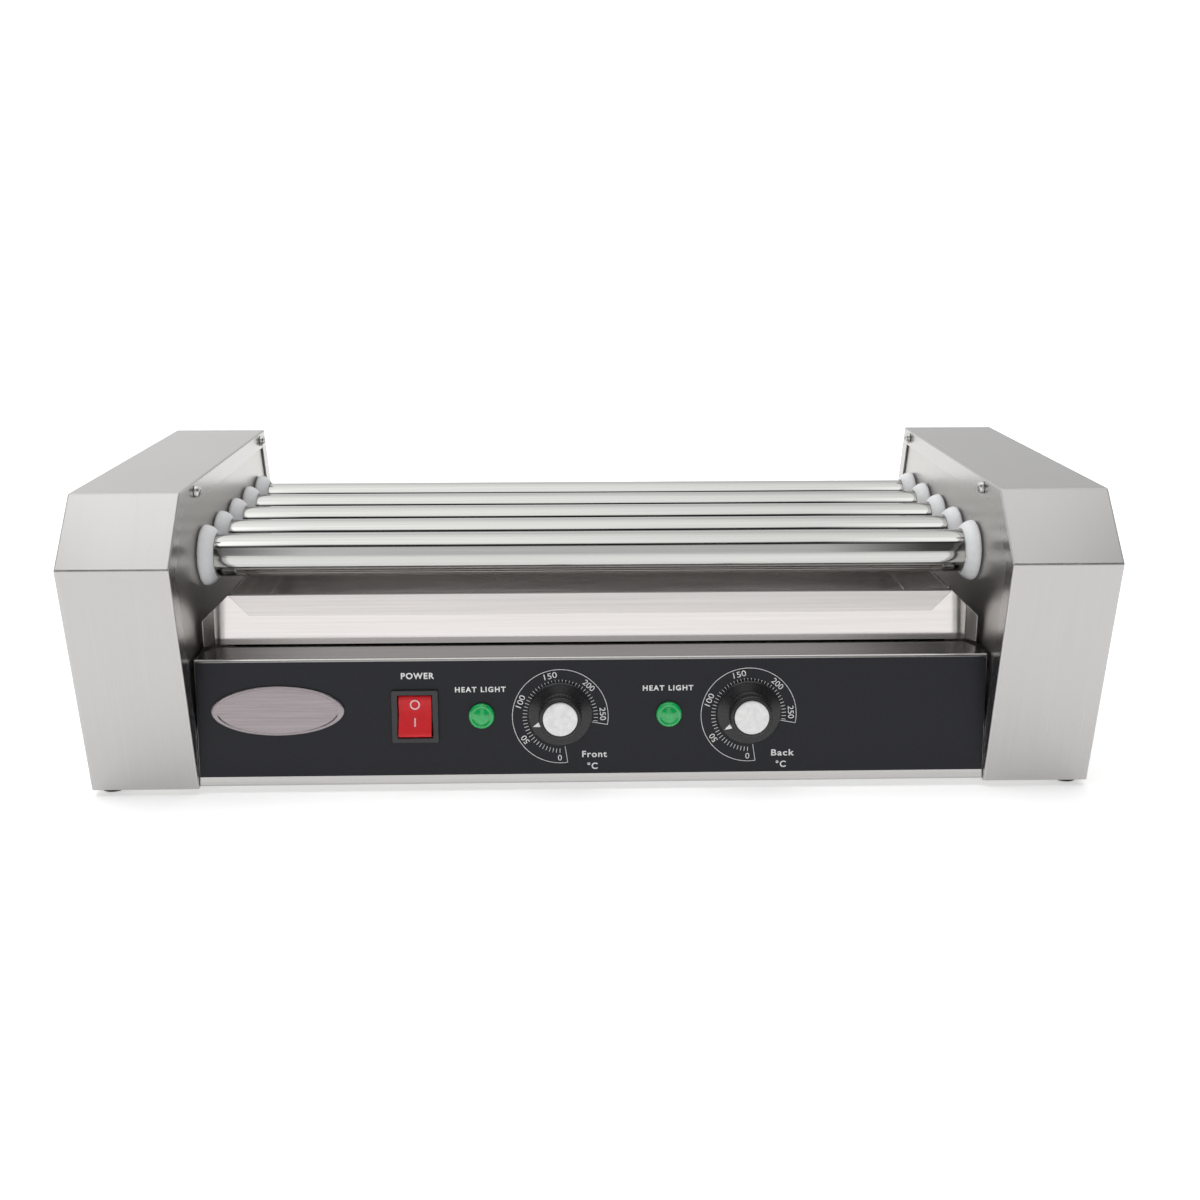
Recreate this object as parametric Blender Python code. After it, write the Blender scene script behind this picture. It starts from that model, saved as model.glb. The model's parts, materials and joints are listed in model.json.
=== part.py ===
"""Five-roller hot dog grill for a counter: CAD model in metres, +Z up.

The origin is the centre of the grill's footprint, on the surface that its feet stand on.
+X is the right-hand end, -Y is the side with the controls.
"""

import math

import bmesh
import bpy
from mathutils import Matrix, Vector
from mathutils.geometry import convex_hull_2d

# Overall size
WIDTH = 0.580
FRONT_EDGE_Y = -0.1115  # bottom front edge of the end covers
FOOT_HEIGHT = 0.004
GAP = 0.0003  # running and assembly clearance
SHEET = 0.001
PLATE = 0.0015

# End covers: side outline as (distance behind the bottom front edge, height above the bottom edge)
COVER_OUTLINE = [
    (0.0, 0.0),
    (-0.019, 0.136),
    (0.0145, 0.1715),
    (0.2327, 0.1715),
    (0.242, 0.136),
    (0.232, 0.0),
]
COVER_WIDTH = 0.0615
COVER_FLANGE = 0.011
OPEN_BELOW = 0.005  # how far a cutter reaches past an open bottom
INNER_FACE = WIDTH / 2 - COVER_WIDTH
FRAME_FACE = INNER_FACE + SHEET + GAP

# Base box with the sloping control panel
DECK_HEIGHT = 0.0747
PANEL_TOP_Y = 0.0115
PANEL_BOTTOM_Y = 0.0021
BASE_BACK_Y = 0.2295
BASE_LIP = 0.012

# Control panel: places are (x, distance below the panel's top edge)
OVERLAY_TOP = 0.0016
OVERLAY_BOTTOM = 0.069
OVERLAY_FACE = 0.0006
CONTROL_LINE = 0.0338
KNOB_LINE = 0.0330
BADGE_PLACE = (-0.1815, 0.0299)
BADGE_SIZE = (0.076, 0.0290, 0.0014)
SWITCH_X = -0.1029
LAMP_PLACES = {"front": -0.0647, "back": 0.0436}
KNOB_PLACES = {"front": -0.0193, "back": 0.0900}
LAMP_RADIUS = 0.0074
LAMP_BARREL = 0.0047
SHAFT_RADIUS = 0.003
KNOB_SKIRT = 0.0187
KNOB_BODY = 0.0123
KNOB_HEIGHT = 0.014
KNOB_BORE = 0.0105
KNOB_CAP = 0.010
SWITCH_FLANGE = (0.0267, 0.0307)
SWITCH_BODY = (0.0220, 0.0275)
ROCKER_SIZE = (0.0190, 0.0243)
ROCKER_TILT = math.radians(10)
ROCKER_PIVOT = 0.0003

# Rollers and what carries them
ROLLER_COUNT = 5
ROLLER_RADIUS = 0.0125
ROLLER_WALL = 0.001
ROLLER_FRONT_Y = 0.0556
ROLLER_PITCH = 0.0376
ROLLER_HEIGHT = 0.1255
ROLLER_EXPOSED = 0.4416
ROLLER_LEFT_END = -0.237
ROLLER_RIGHT_END = 0.246
BUSHING_RADIUS = 0.018
BUSHING_NOSE = 0.0138
BUSHING_SPIGOT = 0.0147
HEATER_RADIUS = 0.0035
HEATER_COLLAR = 0.005
HEATER_LENGTH = 0.530
BRACKET_FACE = 0.254

# Chain drive behind the right-hand frame
SPROCKET_X = 0.2385
SPROCKET_WIDTH = 0.003
ROLLER_TEETH = 14
MOTOR_TEETH = 11
SPROCKET_TIP = 0.0172
MOTOR_SPROCKET_TIP = 0.0135
TOOTH_DEPTH = 0.0028
CHAIN_THICKNESS = 0.0035
MOTOR_Y = 0.1308
MOTOR_HEIGHT = 0.058
MOTOR_RADIUS = 0.026
MOTOR_SHAFT = 0.004
MOTOR_PLATE_X = 0.2465

# Drip tray
TRAY_HALF_WIDTH = 0.226
TRAY_TOP_HALF_WIDTH = 0.213
TRAY_FRONT_Y = 0.0362
TRAY_BACK_Y = 0.222
TRAY_FLOOR = 0.0756
TRAY_SHOULDER = 0.0915
TRAY_TOP = 0.1059

# Feet and screws
FOOT_RADIUS = 0.008
FOOT_X = 0.281
FOOT_YS = {"front": 0.013, "rear": 0.219}
FOOT_STUD = 0.0025
SCREW_HEAD = 0.0035
SCREW_SHANK = 0.0015
SCREW_HEIGHT = 0.166
SCREW_YS = {"front": 0.0445, "rear": 0.2177}
SIDES = {"left": -1, "right": 1}

# Mains inlet
GLAND_X = 0.150
GLAND_HEIGHT = 0.030
GLAND_BORE = 0.004
GLAND_BARREL = 0.006

SHARP_ANGLE = math.radians(35)

# Sides of round pieces
FINE_ROUND = 28
ROUND = 20
SMALL_ROUND = 12


def place(back, up):
    """The (y, z) of a point given from the covers' bottom front edge."""
    return (FRONT_EDGE_Y + back, FOOT_HEIGHT + up)


PANEL_TOP = Vector((0.0, *place(PANEL_TOP_Y, DECK_HEIGHT)))
PANEL_BOTTOM = Vector((0.0, *place(PANEL_BOTTOM_Y, 0.0)))
PANEL_UP = (PANEL_TOP - PANEL_BOTTOM).normalized()
PANEL_OUT = Vector((1, 0, 0)).cross(PANEL_UP)
PANEL = Matrix.Translation(PANEL_TOP) @ Matrix((Vector((1, 0, 0)), PANEL_UP, PANEL_OUT)).transposed().to_4x4()
ALONG_X = Matrix.Rotation(math.radians(90), 4, "Y")


def on_panel(x, below, out=0.0):
    """The matrix of a panel place: local X to the right, Y up the panel, Z straight out of it."""
    return PANEL @ Matrix.Translation((x, -below, out))


def roller_centre(index):
    return place(ROLLER_FRONT_Y + index * ROLLER_PITCH, ROLLER_HEIGHT)


# ---- materials ----


def surface(name, colour, metallic, roughness):
    if name in bpy.data.materials:
        return bpy.data.materials[name]
    made = bpy.data.materials.new(name)
    made.use_nodes = True
    shader = made.node_tree.nodes["Principled BSDF"]
    shader.inputs["Base Color"].default_value = (*colour, 1.0)
    shader.inputs["Metallic"].default_value = metallic
    shader.inputs["Roughness"].default_value = roughness
    return made


def satin_steel():
    return surface("satin_stainless", (0.62, 0.61, 0.59), 1.0, 0.32)


def polished_steel():
    return surface("polished_stainless", (0.70, 0.69, 0.67), 1.0, 0.12)


def zinc_steel():
    return surface("zinc_plated_steel", (0.55, 0.55, 0.53), 1.0, 0.4)


def black_plastic():
    return surface("black_plastic", (0.02, 0.02, 0.022), 0.0, 0.4)


# ---- shapes ----


def add_object(name, bm, skin, matrix=None):
    """Finish a mesh as a named object: faces out, round faces smooth."""
    bmesh.ops.recalc_face_normals(bm, faces=bm.faces)
    mesh = bpy.data.meshes.new(name)
    bm.to_mesh(mesh)
    bm.free()
    mesh.shade_smooth()
    mesh.set_sharp_from_angle(angle=SHARP_ANGLE)
    mesh.materials.append(skin)
    made = bpy.data.objects.new(name, mesh)
    bpy.context.scene.collection.objects.link(made)
    made.matrix_world = matrix or Matrix.Identity(4)
    return made


def add_prism(bm, outline, x_low, x_high):
    """A (y, z) outline extruded along X."""
    rim = [bm.verts.new((x_low, y, z)) for y, z in outline]
    face = bm.faces.new(rim)
    grown = bmesh.ops.extrude_face_region(bm, geom=[face])["geom"]
    moved = [item for item in grown if isinstance(item, bmesh.types.BMVert)]
    bmesh.ops.translate(bm, verts=moved, vec=(x_high - x_low, 0, 0))


def prism(name, outline, x_low, x_high, skin, matrix=None):
    bm = bmesh.new()
    add_prism(bm, outline, x_low, x_high)
    return add_object(name, bm, skin, matrix)


def add_box(bm, low, high):
    centre = (Vector(low) + Vector(high)) / 2
    size = Vector(high) - Vector(low)
    matrix = Matrix.Translation(centre) @ Matrix.Diagonal((*size, 1.0))
    bmesh.ops.create_cube(bm, size=1.0, matrix=matrix)


def box(name, low, high, skin, matrix=None):
    bm = bmesh.new()
    add_box(bm, low, high)
    return add_object(name, bm, skin, matrix)


def add_turned(bm, profile, segments, matrix=None, ring=False):
    """A (radius, height) profile spun round the matrix's Z axis. A ring's profile closes on itself."""
    points = [bm.verts.new((radius, 0, height)) for radius, height in profile]
    follow = points[1:] + points[:1] if ring else points[1:]
    edges = [bm.edges.new(pair) for pair in zip(points, follow)]
    spun = {"cent": (0, 0, 0), "axis": (0, 0, 1), "dvec": (0, 0, 0), "use_duplicate": False}
    start = set(bm.verts) - set(points)
    bmesh.ops.spin(bm, geom=points + edges, angle=math.tau, steps=segments, **spun)
    made = [vert for vert in bm.verts if vert not in start]
    bmesh.ops.remove_doubles(bm, verts=made, dist=1e-6)
    if matrix:
        made = [vert for vert in bm.verts if vert not in start]
        bmesh.ops.transform(bm, matrix=matrix, verts=made)


def turned(name, profile, segments, skin, matrix=None, ring=False):
    bm = bmesh.new()
    add_turned(bm, profile, segments, None, ring)
    return add_object(name, bm, skin, matrix)


def add_rod(bm, radius, low, high, segments, matrix=None):
    add_turned(bm, [(0, low), (radius, low), (radius, high), (0, high)], segments, matrix)


def cutter(name, fill, matrix=None):
    """A hidden tool made by fill(bm)."""
    bm = bmesh.new()
    fill(bm)
    tool = add_object(name, bm, zinc_steel(), matrix)
    tool.hide_render = True
    tool.display_type = "WIRE"
    return tool


def combine(target, tool, operation="DIFFERENCE"):
    boolean = target.modifiers.new(operation.title(), "BOOLEAN")
    boolean.operation = operation
    boolean.object = tool
    tool.hide_render = True
    tool.display_type = "WIRE"
    return target


def shifted_edge(start, end, distance):
    """An edge moved to its right by a distance, as a point and a direction."""
    run = (Vector(end) - Vector(start)).normalized()
    return Vector(start) + Vector((run.y, -run.x)) * distance, run


def meeting_point(first, second):
    """Where two lines, each a point and a direction, cross."""
    (start, run), (other, turn) = first, second
    return tuple(start + run * ((other - start).cross(turn) / run.cross(turn)))


def folded_strip(path, thickness):
    """The outline of a sheet folded along a path, with its thickness to the path's right."""
    edges = [shifted_edge(start, end, thickness) for start, end in zip(path, path[1:])]
    last = shifted_edge(path[-1], path[-2], -thickness)[0]
    corners = [meeting_point(first, second) for first, second in zip(edges, edges[1:])]
    inner = [tuple(edges[0][0]), *corners, tuple(last)]
    return list(path) + inner[::-1]


def cover_section(inset, bottom_inset):
    """The end cover's side outline with its edges moved in, the bottom one by its own distance."""
    ends = COVER_OUTLINE[1:] + COVER_OUTLINE[:1]
    insets = [inset] * (len(ends) - 1) + [bottom_inset]
    edges = [shifted_edge(*edge) for edge in zip(COVER_OUTLINE, ends, insets)]
    corners = [meeting_point(edges[index - 1], edges[index]) for index in range(len(edges))]
    return [place(*corner) for corner in corners]


def sprocket_outline(teeth, tip):
    """Tooth outline as (y, z) points round the centre."""
    root = tip - TOOTH_DEPTH
    step = math.tau / teeth
    corners = [(-0.30, root), (0, tip), (0.30, root)]
    turns = [((index + shift) * step, radius) for index in range(teeth) for shift, radius in corners]
    return [(radius * math.cos(turn), radius * math.sin(turn)) for turn, radius in turns]


def belt_outline(circles, extra, segments=ROUND):
    """The taut loop round (y, z, radius) circles, grown by extra."""
    steps = [index * math.tau / segments for index in range(segments)]
    points = [
        (y + (radius + extra) * math.cos(turn), z + (radius + extra) * math.sin(turn))
        for y, z, radius in circles
        for turn in steps
    ]
    return [points[index] for index in convex_hull_2d(points)]


# ---- end covers, side frames, screws and feet ----


def build_cover(side, sign):
    """A folded sheet shell, open below, with a return flange along its inner edges."""
    inner, outer = sign * INNER_FACE, sign * WIDTH / 2
    cover = prism(f"{side}_end_cover", cover_section(0, 0), inner, outer, satin_steel())
    hollow = cutter(
        f"{side}_cover_hollow",
        lambda bm: add_prism(
            bm, cover_section(SHEET, -OPEN_BELOW), inner + sign * SHEET, outer - sign * SHEET
        ),
    )
    mouth = cutter(
        f"{side}_cover_mouth",
        lambda bm: add_prism(
            bm, cover_section(COVER_FLANGE, -OPEN_BELOW), inner - sign * SHEET, inner + sign * 2 * SHEET
        ),
    )
    combine(cover, hollow)
    combine(cover, mouth)
    combine(cover, screw_holes(side, sign))


def screw_holes(side, sign):
    name = f"{side}_screw_holes"
    if name in bpy.data.objects:
        return bpy.data.objects[name]

    def fill(bm):
        for back in SCREW_YS.values():
            centre = Matrix.Translation((sign * INNER_FACE, *place(back, SCREW_HEIGHT)))
            add_rod(bm, SCREW_SHANK + GAP, -4 * PLATE, 4 * PLATE, SMALL_ROUND, centre @ ALONG_X)

    return cutter(name, fill)


def build_side_frame(side, sign):
    """The upright plate that carries the roller ends, with a floor flange for the feet."""
    face, back = sign * FRAME_FACE, sign * (FRAME_FACE + PLATE)
    section = cover_section(SHEET + GAP, GAP)
    frame = prism(f"{side}_side_frame", section, face, back, polished_steel())
    front, rear = section[0], section[-1]
    edge = sign * (WIDTH / 2 - SHEET - GAP)
    low_x, high_x = sorted((face + sign * PLATE / 2, edge))

    def fill_floor(bm):
        bottom = front[1] + GAP / 10
        add_box(bm, (low_x, front[0] + SHEET, bottom), (high_x, rear[0] - SHEET, bottom + PLATE))

    combine(frame, cutter(f"{side}_floor_flange", fill_floor), "UNION")

    def fill_holes(bm):
        for index in range(ROLLER_COUNT):
            centre = Matrix.Translation((face, *roller_centre(index)))
            add_rod(bm, BUSHING_SPIGOT + GAP, -2 * PLATE, 2 * PLATE, ROUND, centre @ ALONG_X)
        for back_distance in FOOT_YS.values():
            foot = Matrix.Translation((sign * FOOT_X, *place(back_distance, 0)))
            add_rod(bm, FOOT_STUD + GAP, -PLATE, 3 * PLATE, SMALL_ROUND, foot)

    combine(frame, cutter(f"{side}_frame_holes", fill_holes))
    combine(frame, screw_holes(side, sign))


def build_screw(side, sign, end, back):
    """A pan-head screw through the cover's flange, with its head towards the rollers."""
    head = [(0, 0.0020), (0.0016, 0.0019), (0.0030, 0.0013), (SCREW_HEAD, 0.0004), (SCREW_HEAD, 0.0)]
    shank = [(SCREW_SHANK, 0.0), (SCREW_SHANK, -0.007), (0, -0.007)]
    inward = Matrix.Rotation(math.radians(-90 * sign), 4, "Y")
    spot = Matrix.Translation((sign * (INNER_FACE - GAP), *place(back, SCREW_HEIGHT)))
    turned(f"{side}_{end}_screw", head + shank, SMALL_ROUND, zinc_steel(), spot @ inward)


def build_foot(side, sign, end, back):
    profile = [
        (0, -FOOT_HEIGHT),
        (FOOT_RADIUS - 0.0008, -FOOT_HEIGHT),
        (FOOT_RADIUS, -FOOT_HEIGHT + 0.0008),
        (FOOT_RADIUS, 0.0),
        (FOOT_STUD, 0.0),
        (FOOT_STUD, 0.004),
        (0, 0.004),
    ]
    rubber = surface("black_rubber", (0.02, 0.02, 0.02), 0.0, 0.8)
    spot = Matrix.Translation((sign * FOOT_X, *place(back, 0)))
    turned(f"{side}_{end}_foot", profile, SMALL_ROUND, rubber, spot)


# ---- base box ----


def panel_cutouts():
    """Openings in the sloping panel for the switch, the lamps and the thermostat shafts."""
    depth = 0.004

    def fill(bm):
        half_x, half_y = SWITCH_BODY[0] / 2 + GAP, SWITCH_BODY[1] / 2 + GAP
        low = (SWITCH_X - half_x, -CONTROL_LINE - half_y, -depth)
        high = (SWITCH_X + half_x, -CONTROL_LINE + half_y, depth)
        add_box(bm, low, high)
        for x in LAMP_PLACES.values():
            spot = Matrix.Translation((x, -CONTROL_LINE, 0))
            add_rod(bm, LAMP_BARREL + GAP, -depth, depth, ROUND, spot)
        for x in KNOB_PLACES.values():
            spot = Matrix.Translation((x, -KNOB_LINE, 0))
            add_rod(bm, SHAFT_RADIUS + GAP, -depth, depth, SMALL_ROUND, spot)

    return cutter("panel_cutouts", fill, PANEL)


def build_base(cutouts):
    """The folded box under the tray: front panel, deck and back in one sheet, with bottom lips."""
    path = [
        place(PANEL_BOTTOM_Y + BASE_LIP, GAP),
        place(PANEL_BOTTOM_Y, GAP),
        place(PANEL_TOP_Y, DECK_HEIGHT),
        place(BASE_BACK_Y, DECK_HEIGHT),
        place(BASE_BACK_Y, GAP),
        place(BASE_BACK_Y - BASE_LIP, GAP),
    ]
    half = INNER_FACE - GAP
    housing = prism("base_housing", folded_strip(path, SHEET), -half, half, satin_steel())
    combine(housing, cutouts)
    back = Matrix.Translation((GLAND_X, *place(BASE_BACK_Y, GLAND_HEIGHT)))
    back @= Matrix.Rotation(math.pi / 2, 4, "X")
    hole = cutter("gland_hole", lambda bm: add_rod(bm, GLAND_BARREL + GAP, -0.004, 0.004, ROUND, back))
    combine(housing, hole)
    lift = SHEET + 2 * GAP
    low = (-half + GAP, *place(PANEL_BOTTOM_Y + 2.5 * SHEET, lift))
    high = (half - GAP, *place(BASE_BACK_Y - 1.5 * SHEET, lift + SHEET))
    box("base_bottom_plate", low, high, zinc_steel())


def build_overlay(cutouts):
    low = (-INNER_FACE + 2 * GAP, -OVERLAY_BOTTOM, OVERLAY_FACE / 6)
    high = (INNER_FACE - 2 * GAP, -OVERLAY_TOP, OVERLAY_FACE)
    charcoal = surface("black_overlay", (0.03, 0.031, 0.034), 0.0, 0.3)
    overlay = box("control_overlay", low, high, charcoal, PANEL)
    combine(overlay, cutouts)


def build_badge():
    """A blank oval plate with a rounded rim."""
    x, below = BADGE_PLACE
    width, height, thick = BADGE_SIZE
    rim = height / 2
    profile = [(0, 0), (rim, 0), (rim, 0.6 * thick), (rim - 0.001, thick), (0, thick)]
    lift = OVERLAY_FACE + GAP / 3
    bm = bmesh.new()
    add_turned(bm, profile, FINE_ROUND)
    bmesh.ops.scale(bm, vec=(width / height, 1, 1), verts=bm.verts)
    add_object("badge", bm, surface("brushed_nickel", (0.7, 0.66, 0.66), 1.0, 0.25), on_panel(x, below, lift))


# ---- controls ----


def build_switch():
    """Panel-mount housing with a pocket, and a rocker with a shallow V face, resting at off."""
    spot = on_panel(SWITCH_X, CONTROL_LINE)
    flange_x, flange_y = (size / 2 for size in SWITCH_FLANGE)
    body_x, body_y = (size / 2 for size in SWITCH_BODY)
    flange_low = OVERLAY_FACE + GAP / 3
    flange_high = flange_low + 0.0018
    housing = box(
        "switch_housing",
        (-flange_x, -flange_y, flange_low),
        (flange_x, flange_y, flange_high),
        black_plastic(),
        spot,
    )
    body_low, body_high = (-body_x, -body_y, -0.020), (body_x, body_y, flange_high - GAP)
    combine(housing, cutter("switch_body", lambda bm: add_box(bm, body_low, body_high), spot), "UNION")
    pocket_x, pocket_y = (size / 2 + GAP for size in ROCKER_SIZE)
    pocket_low, pocket_high = (-pocket_x, -pocket_y, -0.010), (pocket_x, pocket_y, 0.004)
    combine(housing, cutter("switch_pocket", lambda bm: add_box(bm, pocket_low, pocket_high), spot))

    reach = ROCKER_SIZE[1] / 2
    valley = 0.0010
    brow = valley + reach * math.tan(ROCKER_TILT)
    start = math.asin(brow / reach)
    ends = [start + (-0.30 - start) * step / 4 for step in range(5)]
    right = [(reach * math.cos(turn), reach * math.sin(turn)) for turn in ends]
    left = [(-y, z) for y, z in reversed(right)]
    outline = [(0, valley), *right, (0.006, -0.007), (-0.006, -0.007), *left]
    pivot = spot @ Matrix.Translation((0, 0, ROCKER_PIVOT)) @ Matrix.Rotation(-ROCKER_TILT, 4, "X")
    red = surface("red_plastic", (0.63, 0.01, 0.02), 0.0, 0.3)
    half = ROCKER_SIZE[0] / 2
    prism("power_rocker", outline, -half, half, red, pivot)


def build_lamp(place_name, x):
    """A green indicator: domed lens with a rim, and a barrel behind the panel."""
    rim = OVERLAY_FACE + GAP / 3
    profile = [
        (0, -0.016),
        (LAMP_BARREL, -0.016),
        (LAMP_BARREL, rim),
        (LAMP_RADIUS, rim),
        (LAMP_RADIUS, rim + 0.0014),
        (LAMP_RADIUS - 0.0010, rim + 0.0022),
        (0.0045, rim + 0.0030),
        (0.0022, rim + 0.0037),
        (0, rim + 0.0040),
    ]
    green = surface("green_lens", (0.0, 0.35, 0.1), 0.0, 0.15)
    turned(f"{place_name}_heat_lamp", profile, SMALL_ROUND, green, on_panel(x, CONTROL_LINE))


def build_knob(place_name, x):
    """A skirted knob that turns on its thermostat's shaft, with an aluminium cap let into its end."""
    foot = OVERLAY_FACE + 2 * GAP
    cap_floor = KNOB_HEIGHT - 0.0008
    profile = [
        (0, KNOB_BORE),
        (SHAFT_RADIUS + GAP, KNOB_BORE),
        (SHAFT_RADIUS + GAP, foot),
        (KNOB_SKIRT, foot),
        (KNOB_SKIRT, foot + 0.0016),
        (KNOB_SKIRT - 0.0012, foot + 0.0026),
        (KNOB_BODY + 0.0012, foot + 0.0040),
        (KNOB_BODY, KNOB_HEIGHT - 0.0008),
        (KNOB_BODY - 0.0008, KNOB_HEIGHT),
        (KNOB_CAP + GAP, KNOB_HEIGHT),
        (KNOB_CAP + GAP, cap_floor),
        (0, cap_floor),
    ]
    turned(f"{place_name}_heat_knob", profile, ROUND, black_plastic(), on_panel(x, KNOB_LINE))
    cap = [
        (0, cap_floor + GAP),
        (KNOB_CAP, cap_floor + GAP),
        (KNOB_CAP, KNOB_HEIGHT + 0.0004),
        (KNOB_CAP - 0.0006, KNOB_HEIGHT + 0.0010),
        (0, KNOB_HEIGHT + 0.0010),
    ]
    spun = surface("spun_aluminium", (0.8, 0.8, 0.8), 1.0, 0.2)
    turned(f"{place_name}_knob_cap", cap, ROUND, spun, on_panel(x, KNOB_LINE))


def build_thermostat(place_name, x):
    """A capillary thermostat behind the panel, with the round shaft that the knob turns on."""
    half = 0.016
    spot = on_panel(x, KNOB_LINE)
    shaft_end = KNOB_BORE - 0.0005
    steel = zinc_steel()
    case = box(f"{place_name}_thermostat", (-half, -half, -0.026), (half, half, -0.006), steel, spot)

    def fill(bm):
        profile = [(0, -0.010), (0.005, -0.010), (0.005, -0.002), (SHAFT_RADIUS, -0.002)]
        add_turned(bm, [*profile, (SHAFT_RADIUS, shaft_end), (0, shaft_end)], SMALL_ROUND)

    combine(case, cutter(f"{place_name}_shaft", fill, spot), "UNION")


# ---- drip tray ----


def build_tray():
    """A shallow pan whose front wall has clipped corners and stands wider than the pan."""
    front_y, floor = place(TRAY_FRONT_Y, TRAY_FLOOR)
    back_y, top = place(TRAY_BACK_Y, TRAY_TOP)
    shoulder = place(0, TRAY_SHOULDER)[1]
    pan_half = TRAY_TOP_HALF_WIDTH
    steel = polished_steel()
    tray = box("drip_tray", (-pan_half, front_y, floor), (pan_half, back_y, top), steel)

    def fill_apron(bm):
        half = TRAY_HALF_WIDTH
        corners = [(-half, floor), (half, floor), (half, shoulder), (pan_half, top)]
        corners += [(-pan_half, top), (-half, shoulder)]
        rim = [bm.verts.new((x, front_y, z)) for x, z in corners]
        face = bm.faces.new(rim)
        grown = bmesh.ops.extrude_face_region(bm, geom=[face])["geom"]
        moved = [item for item in grown if isinstance(item, bmesh.types.BMVert)]
        bmesh.ops.translate(bm, verts=moved, vec=(0, SHEET, 0))

    def fill_hollow(bm):
        low = (-pan_half + SHEET, front_y + SHEET, floor + SHEET)
        add_box(bm, low, (pan_half - SHEET, back_y - SHEET, top + SHEET))

    combine(tray, cutter("tray_apron", fill_apron), "UNION")
    combine(tray, cutter("tray_hollow", fill_hollow))


# ---- rollers, bushings and heaters ----


def build_roller(index):
    """A hollow steel roller, open at both ends, whose origin lies on its axis."""
    inner = ROLLER_RADIUS - ROLLER_WALL
    profile = [
        (inner, ROLLER_LEFT_END),
        (ROLLER_RADIUS, ROLLER_LEFT_END),
        (ROLLER_RADIUS, ROLLER_RIGHT_END),
        (inner, ROLLER_RIGHT_END),
    ]
    chrome = surface("polished_roller_steel", (0.82, 0.82, 0.82), 1.0, 0.06)
    spot = Matrix.Translation((0, *roller_centre(index))) @ ALONG_X
    turned(f"roller_{index + 1}", profile, FINE_ROUND, chrome, spot, ring=True)


def build_bushing(side, sign, index):
    """A flanged bushing in the side frame; its face is a dome that narrows towards the roller."""
    bore = ROLLER_RADIUS + GAP
    flange = FRAME_FACE - GAP
    tip = ROLLER_EXPOSED / 2
    end = FRAME_FACE + PLATE + 0.0025
    profile = [
        (bore, -tip),
        (BUSHING_NOSE, -tip),
        (BUSHING_RADIUS - 0.0014, -tip - 0.0036),
        (BUSHING_RADIUS, -tip - 0.0064),
        (BUSHING_RADIUS, -flange),
        (BUSHING_SPIGOT, -flange),
        (BUSHING_SPIGOT, -end),
        (bore, -end),
    ]
    towards = Matrix.Rotation(math.radians(-90 * sign), 4, "Y")
    spot = Matrix.Translation((0, *roller_centre(index))) @ towards
    white = surface("white_ptfe", (0.85, 0.85, 0.88), 0.0, 0.45)
    turned(f"{side}_bushing_{index + 1}", profile, ROUND, white, spot, ring=True)


def build_heater(index):
    """A sheathed heating rod through the roller, with a ceramic collar outside each bracket."""
    half = HEATER_LENGTH / 2
    collar = BRACKET_FACE + PLATE + GAP
    profile = [
        (0, -half),
        (HEATER_COLLAR, -half),
        (HEATER_COLLAR, -collar),
        (HEATER_RADIUS, -collar),
        (HEATER_RADIUS, collar),
        (HEATER_COLLAR, collar),
        (HEATER_COLLAR, half),
        (0, half),
    ]
    sheath = surface("heater_sheath", (0.25, 0.22, 0.20), 1.0, 0.5)
    spot = Matrix.Translation((0, *roller_centre(index))) @ ALONG_X
    turned(f"heater_rod_{index + 1}", profile, SMALL_ROUND, sheath, spot)


def build_heater_bracket(side, sign):
    """An upright plate on two legs that holds the heater ends clear of the turning rollers."""
    front_leg, rear_leg, leg = 0.022, 0.217, 0.012
    beam_low, beam_high = ROLLER_HEIGHT - 0.0115, ROLLER_HEIGHT + 0.0115
    foot = GAP * 3 + PLATE
    outline = [
        (front_leg, foot),
        (front_leg, beam_high),
        (rear_leg, beam_high),
        (rear_leg, foot),
        (rear_leg - leg, foot),
        (rear_leg - leg, beam_low),
        (front_leg + leg, beam_low),
        (front_leg + leg, foot),
    ]
    outline = [place(*point) for point in outline]
    low, high = sign * BRACKET_FACE, sign * (BRACKET_FACE + PLATE)
    bracket = prism(f"{side}_heater_bracket", outline, low, high, zinc_steel())

    def fill(bm):
        for index in range(ROLLER_COUNT):
            centre = Matrix.Translation((low, *roller_centre(index)))
            add_rod(bm, HEATER_RADIUS + GAP, -2 * PLATE, 2 * PLATE, SMALL_ROUND, centre @ ALONG_X)

    combine(bracket, cutter(f"{side}_heater_holes", fill))


# ---- chain drive ----


def build_roller_sprocket(index):
    """A sprocket fixed on the roller's right-hand end."""
    centre = Matrix.Translation((SPROCKET_X, *roller_centre(index)))
    chain_steel = surface("chain_steel", (0.35, 0.34, 0.33), 1.0, 0.45)
    outline = sprocket_outline(ROLLER_TEETH, SPROCKET_TIP)
    sprocket = prism(f"roller_sprocket_{index + 1}", outline, 0, SPROCKET_WIDTH, chain_steel, centre)
    bore = cutter(
        f"sprocket_bore_{index + 1}",
        lambda bm: add_rod(bm, ROLLER_RADIUS + GAP, -0.001, 2 * SPROCKET_WIDTH, ROUND, ALONG_X),
        centre,
    )
    combine(sprocket, bore)


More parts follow.
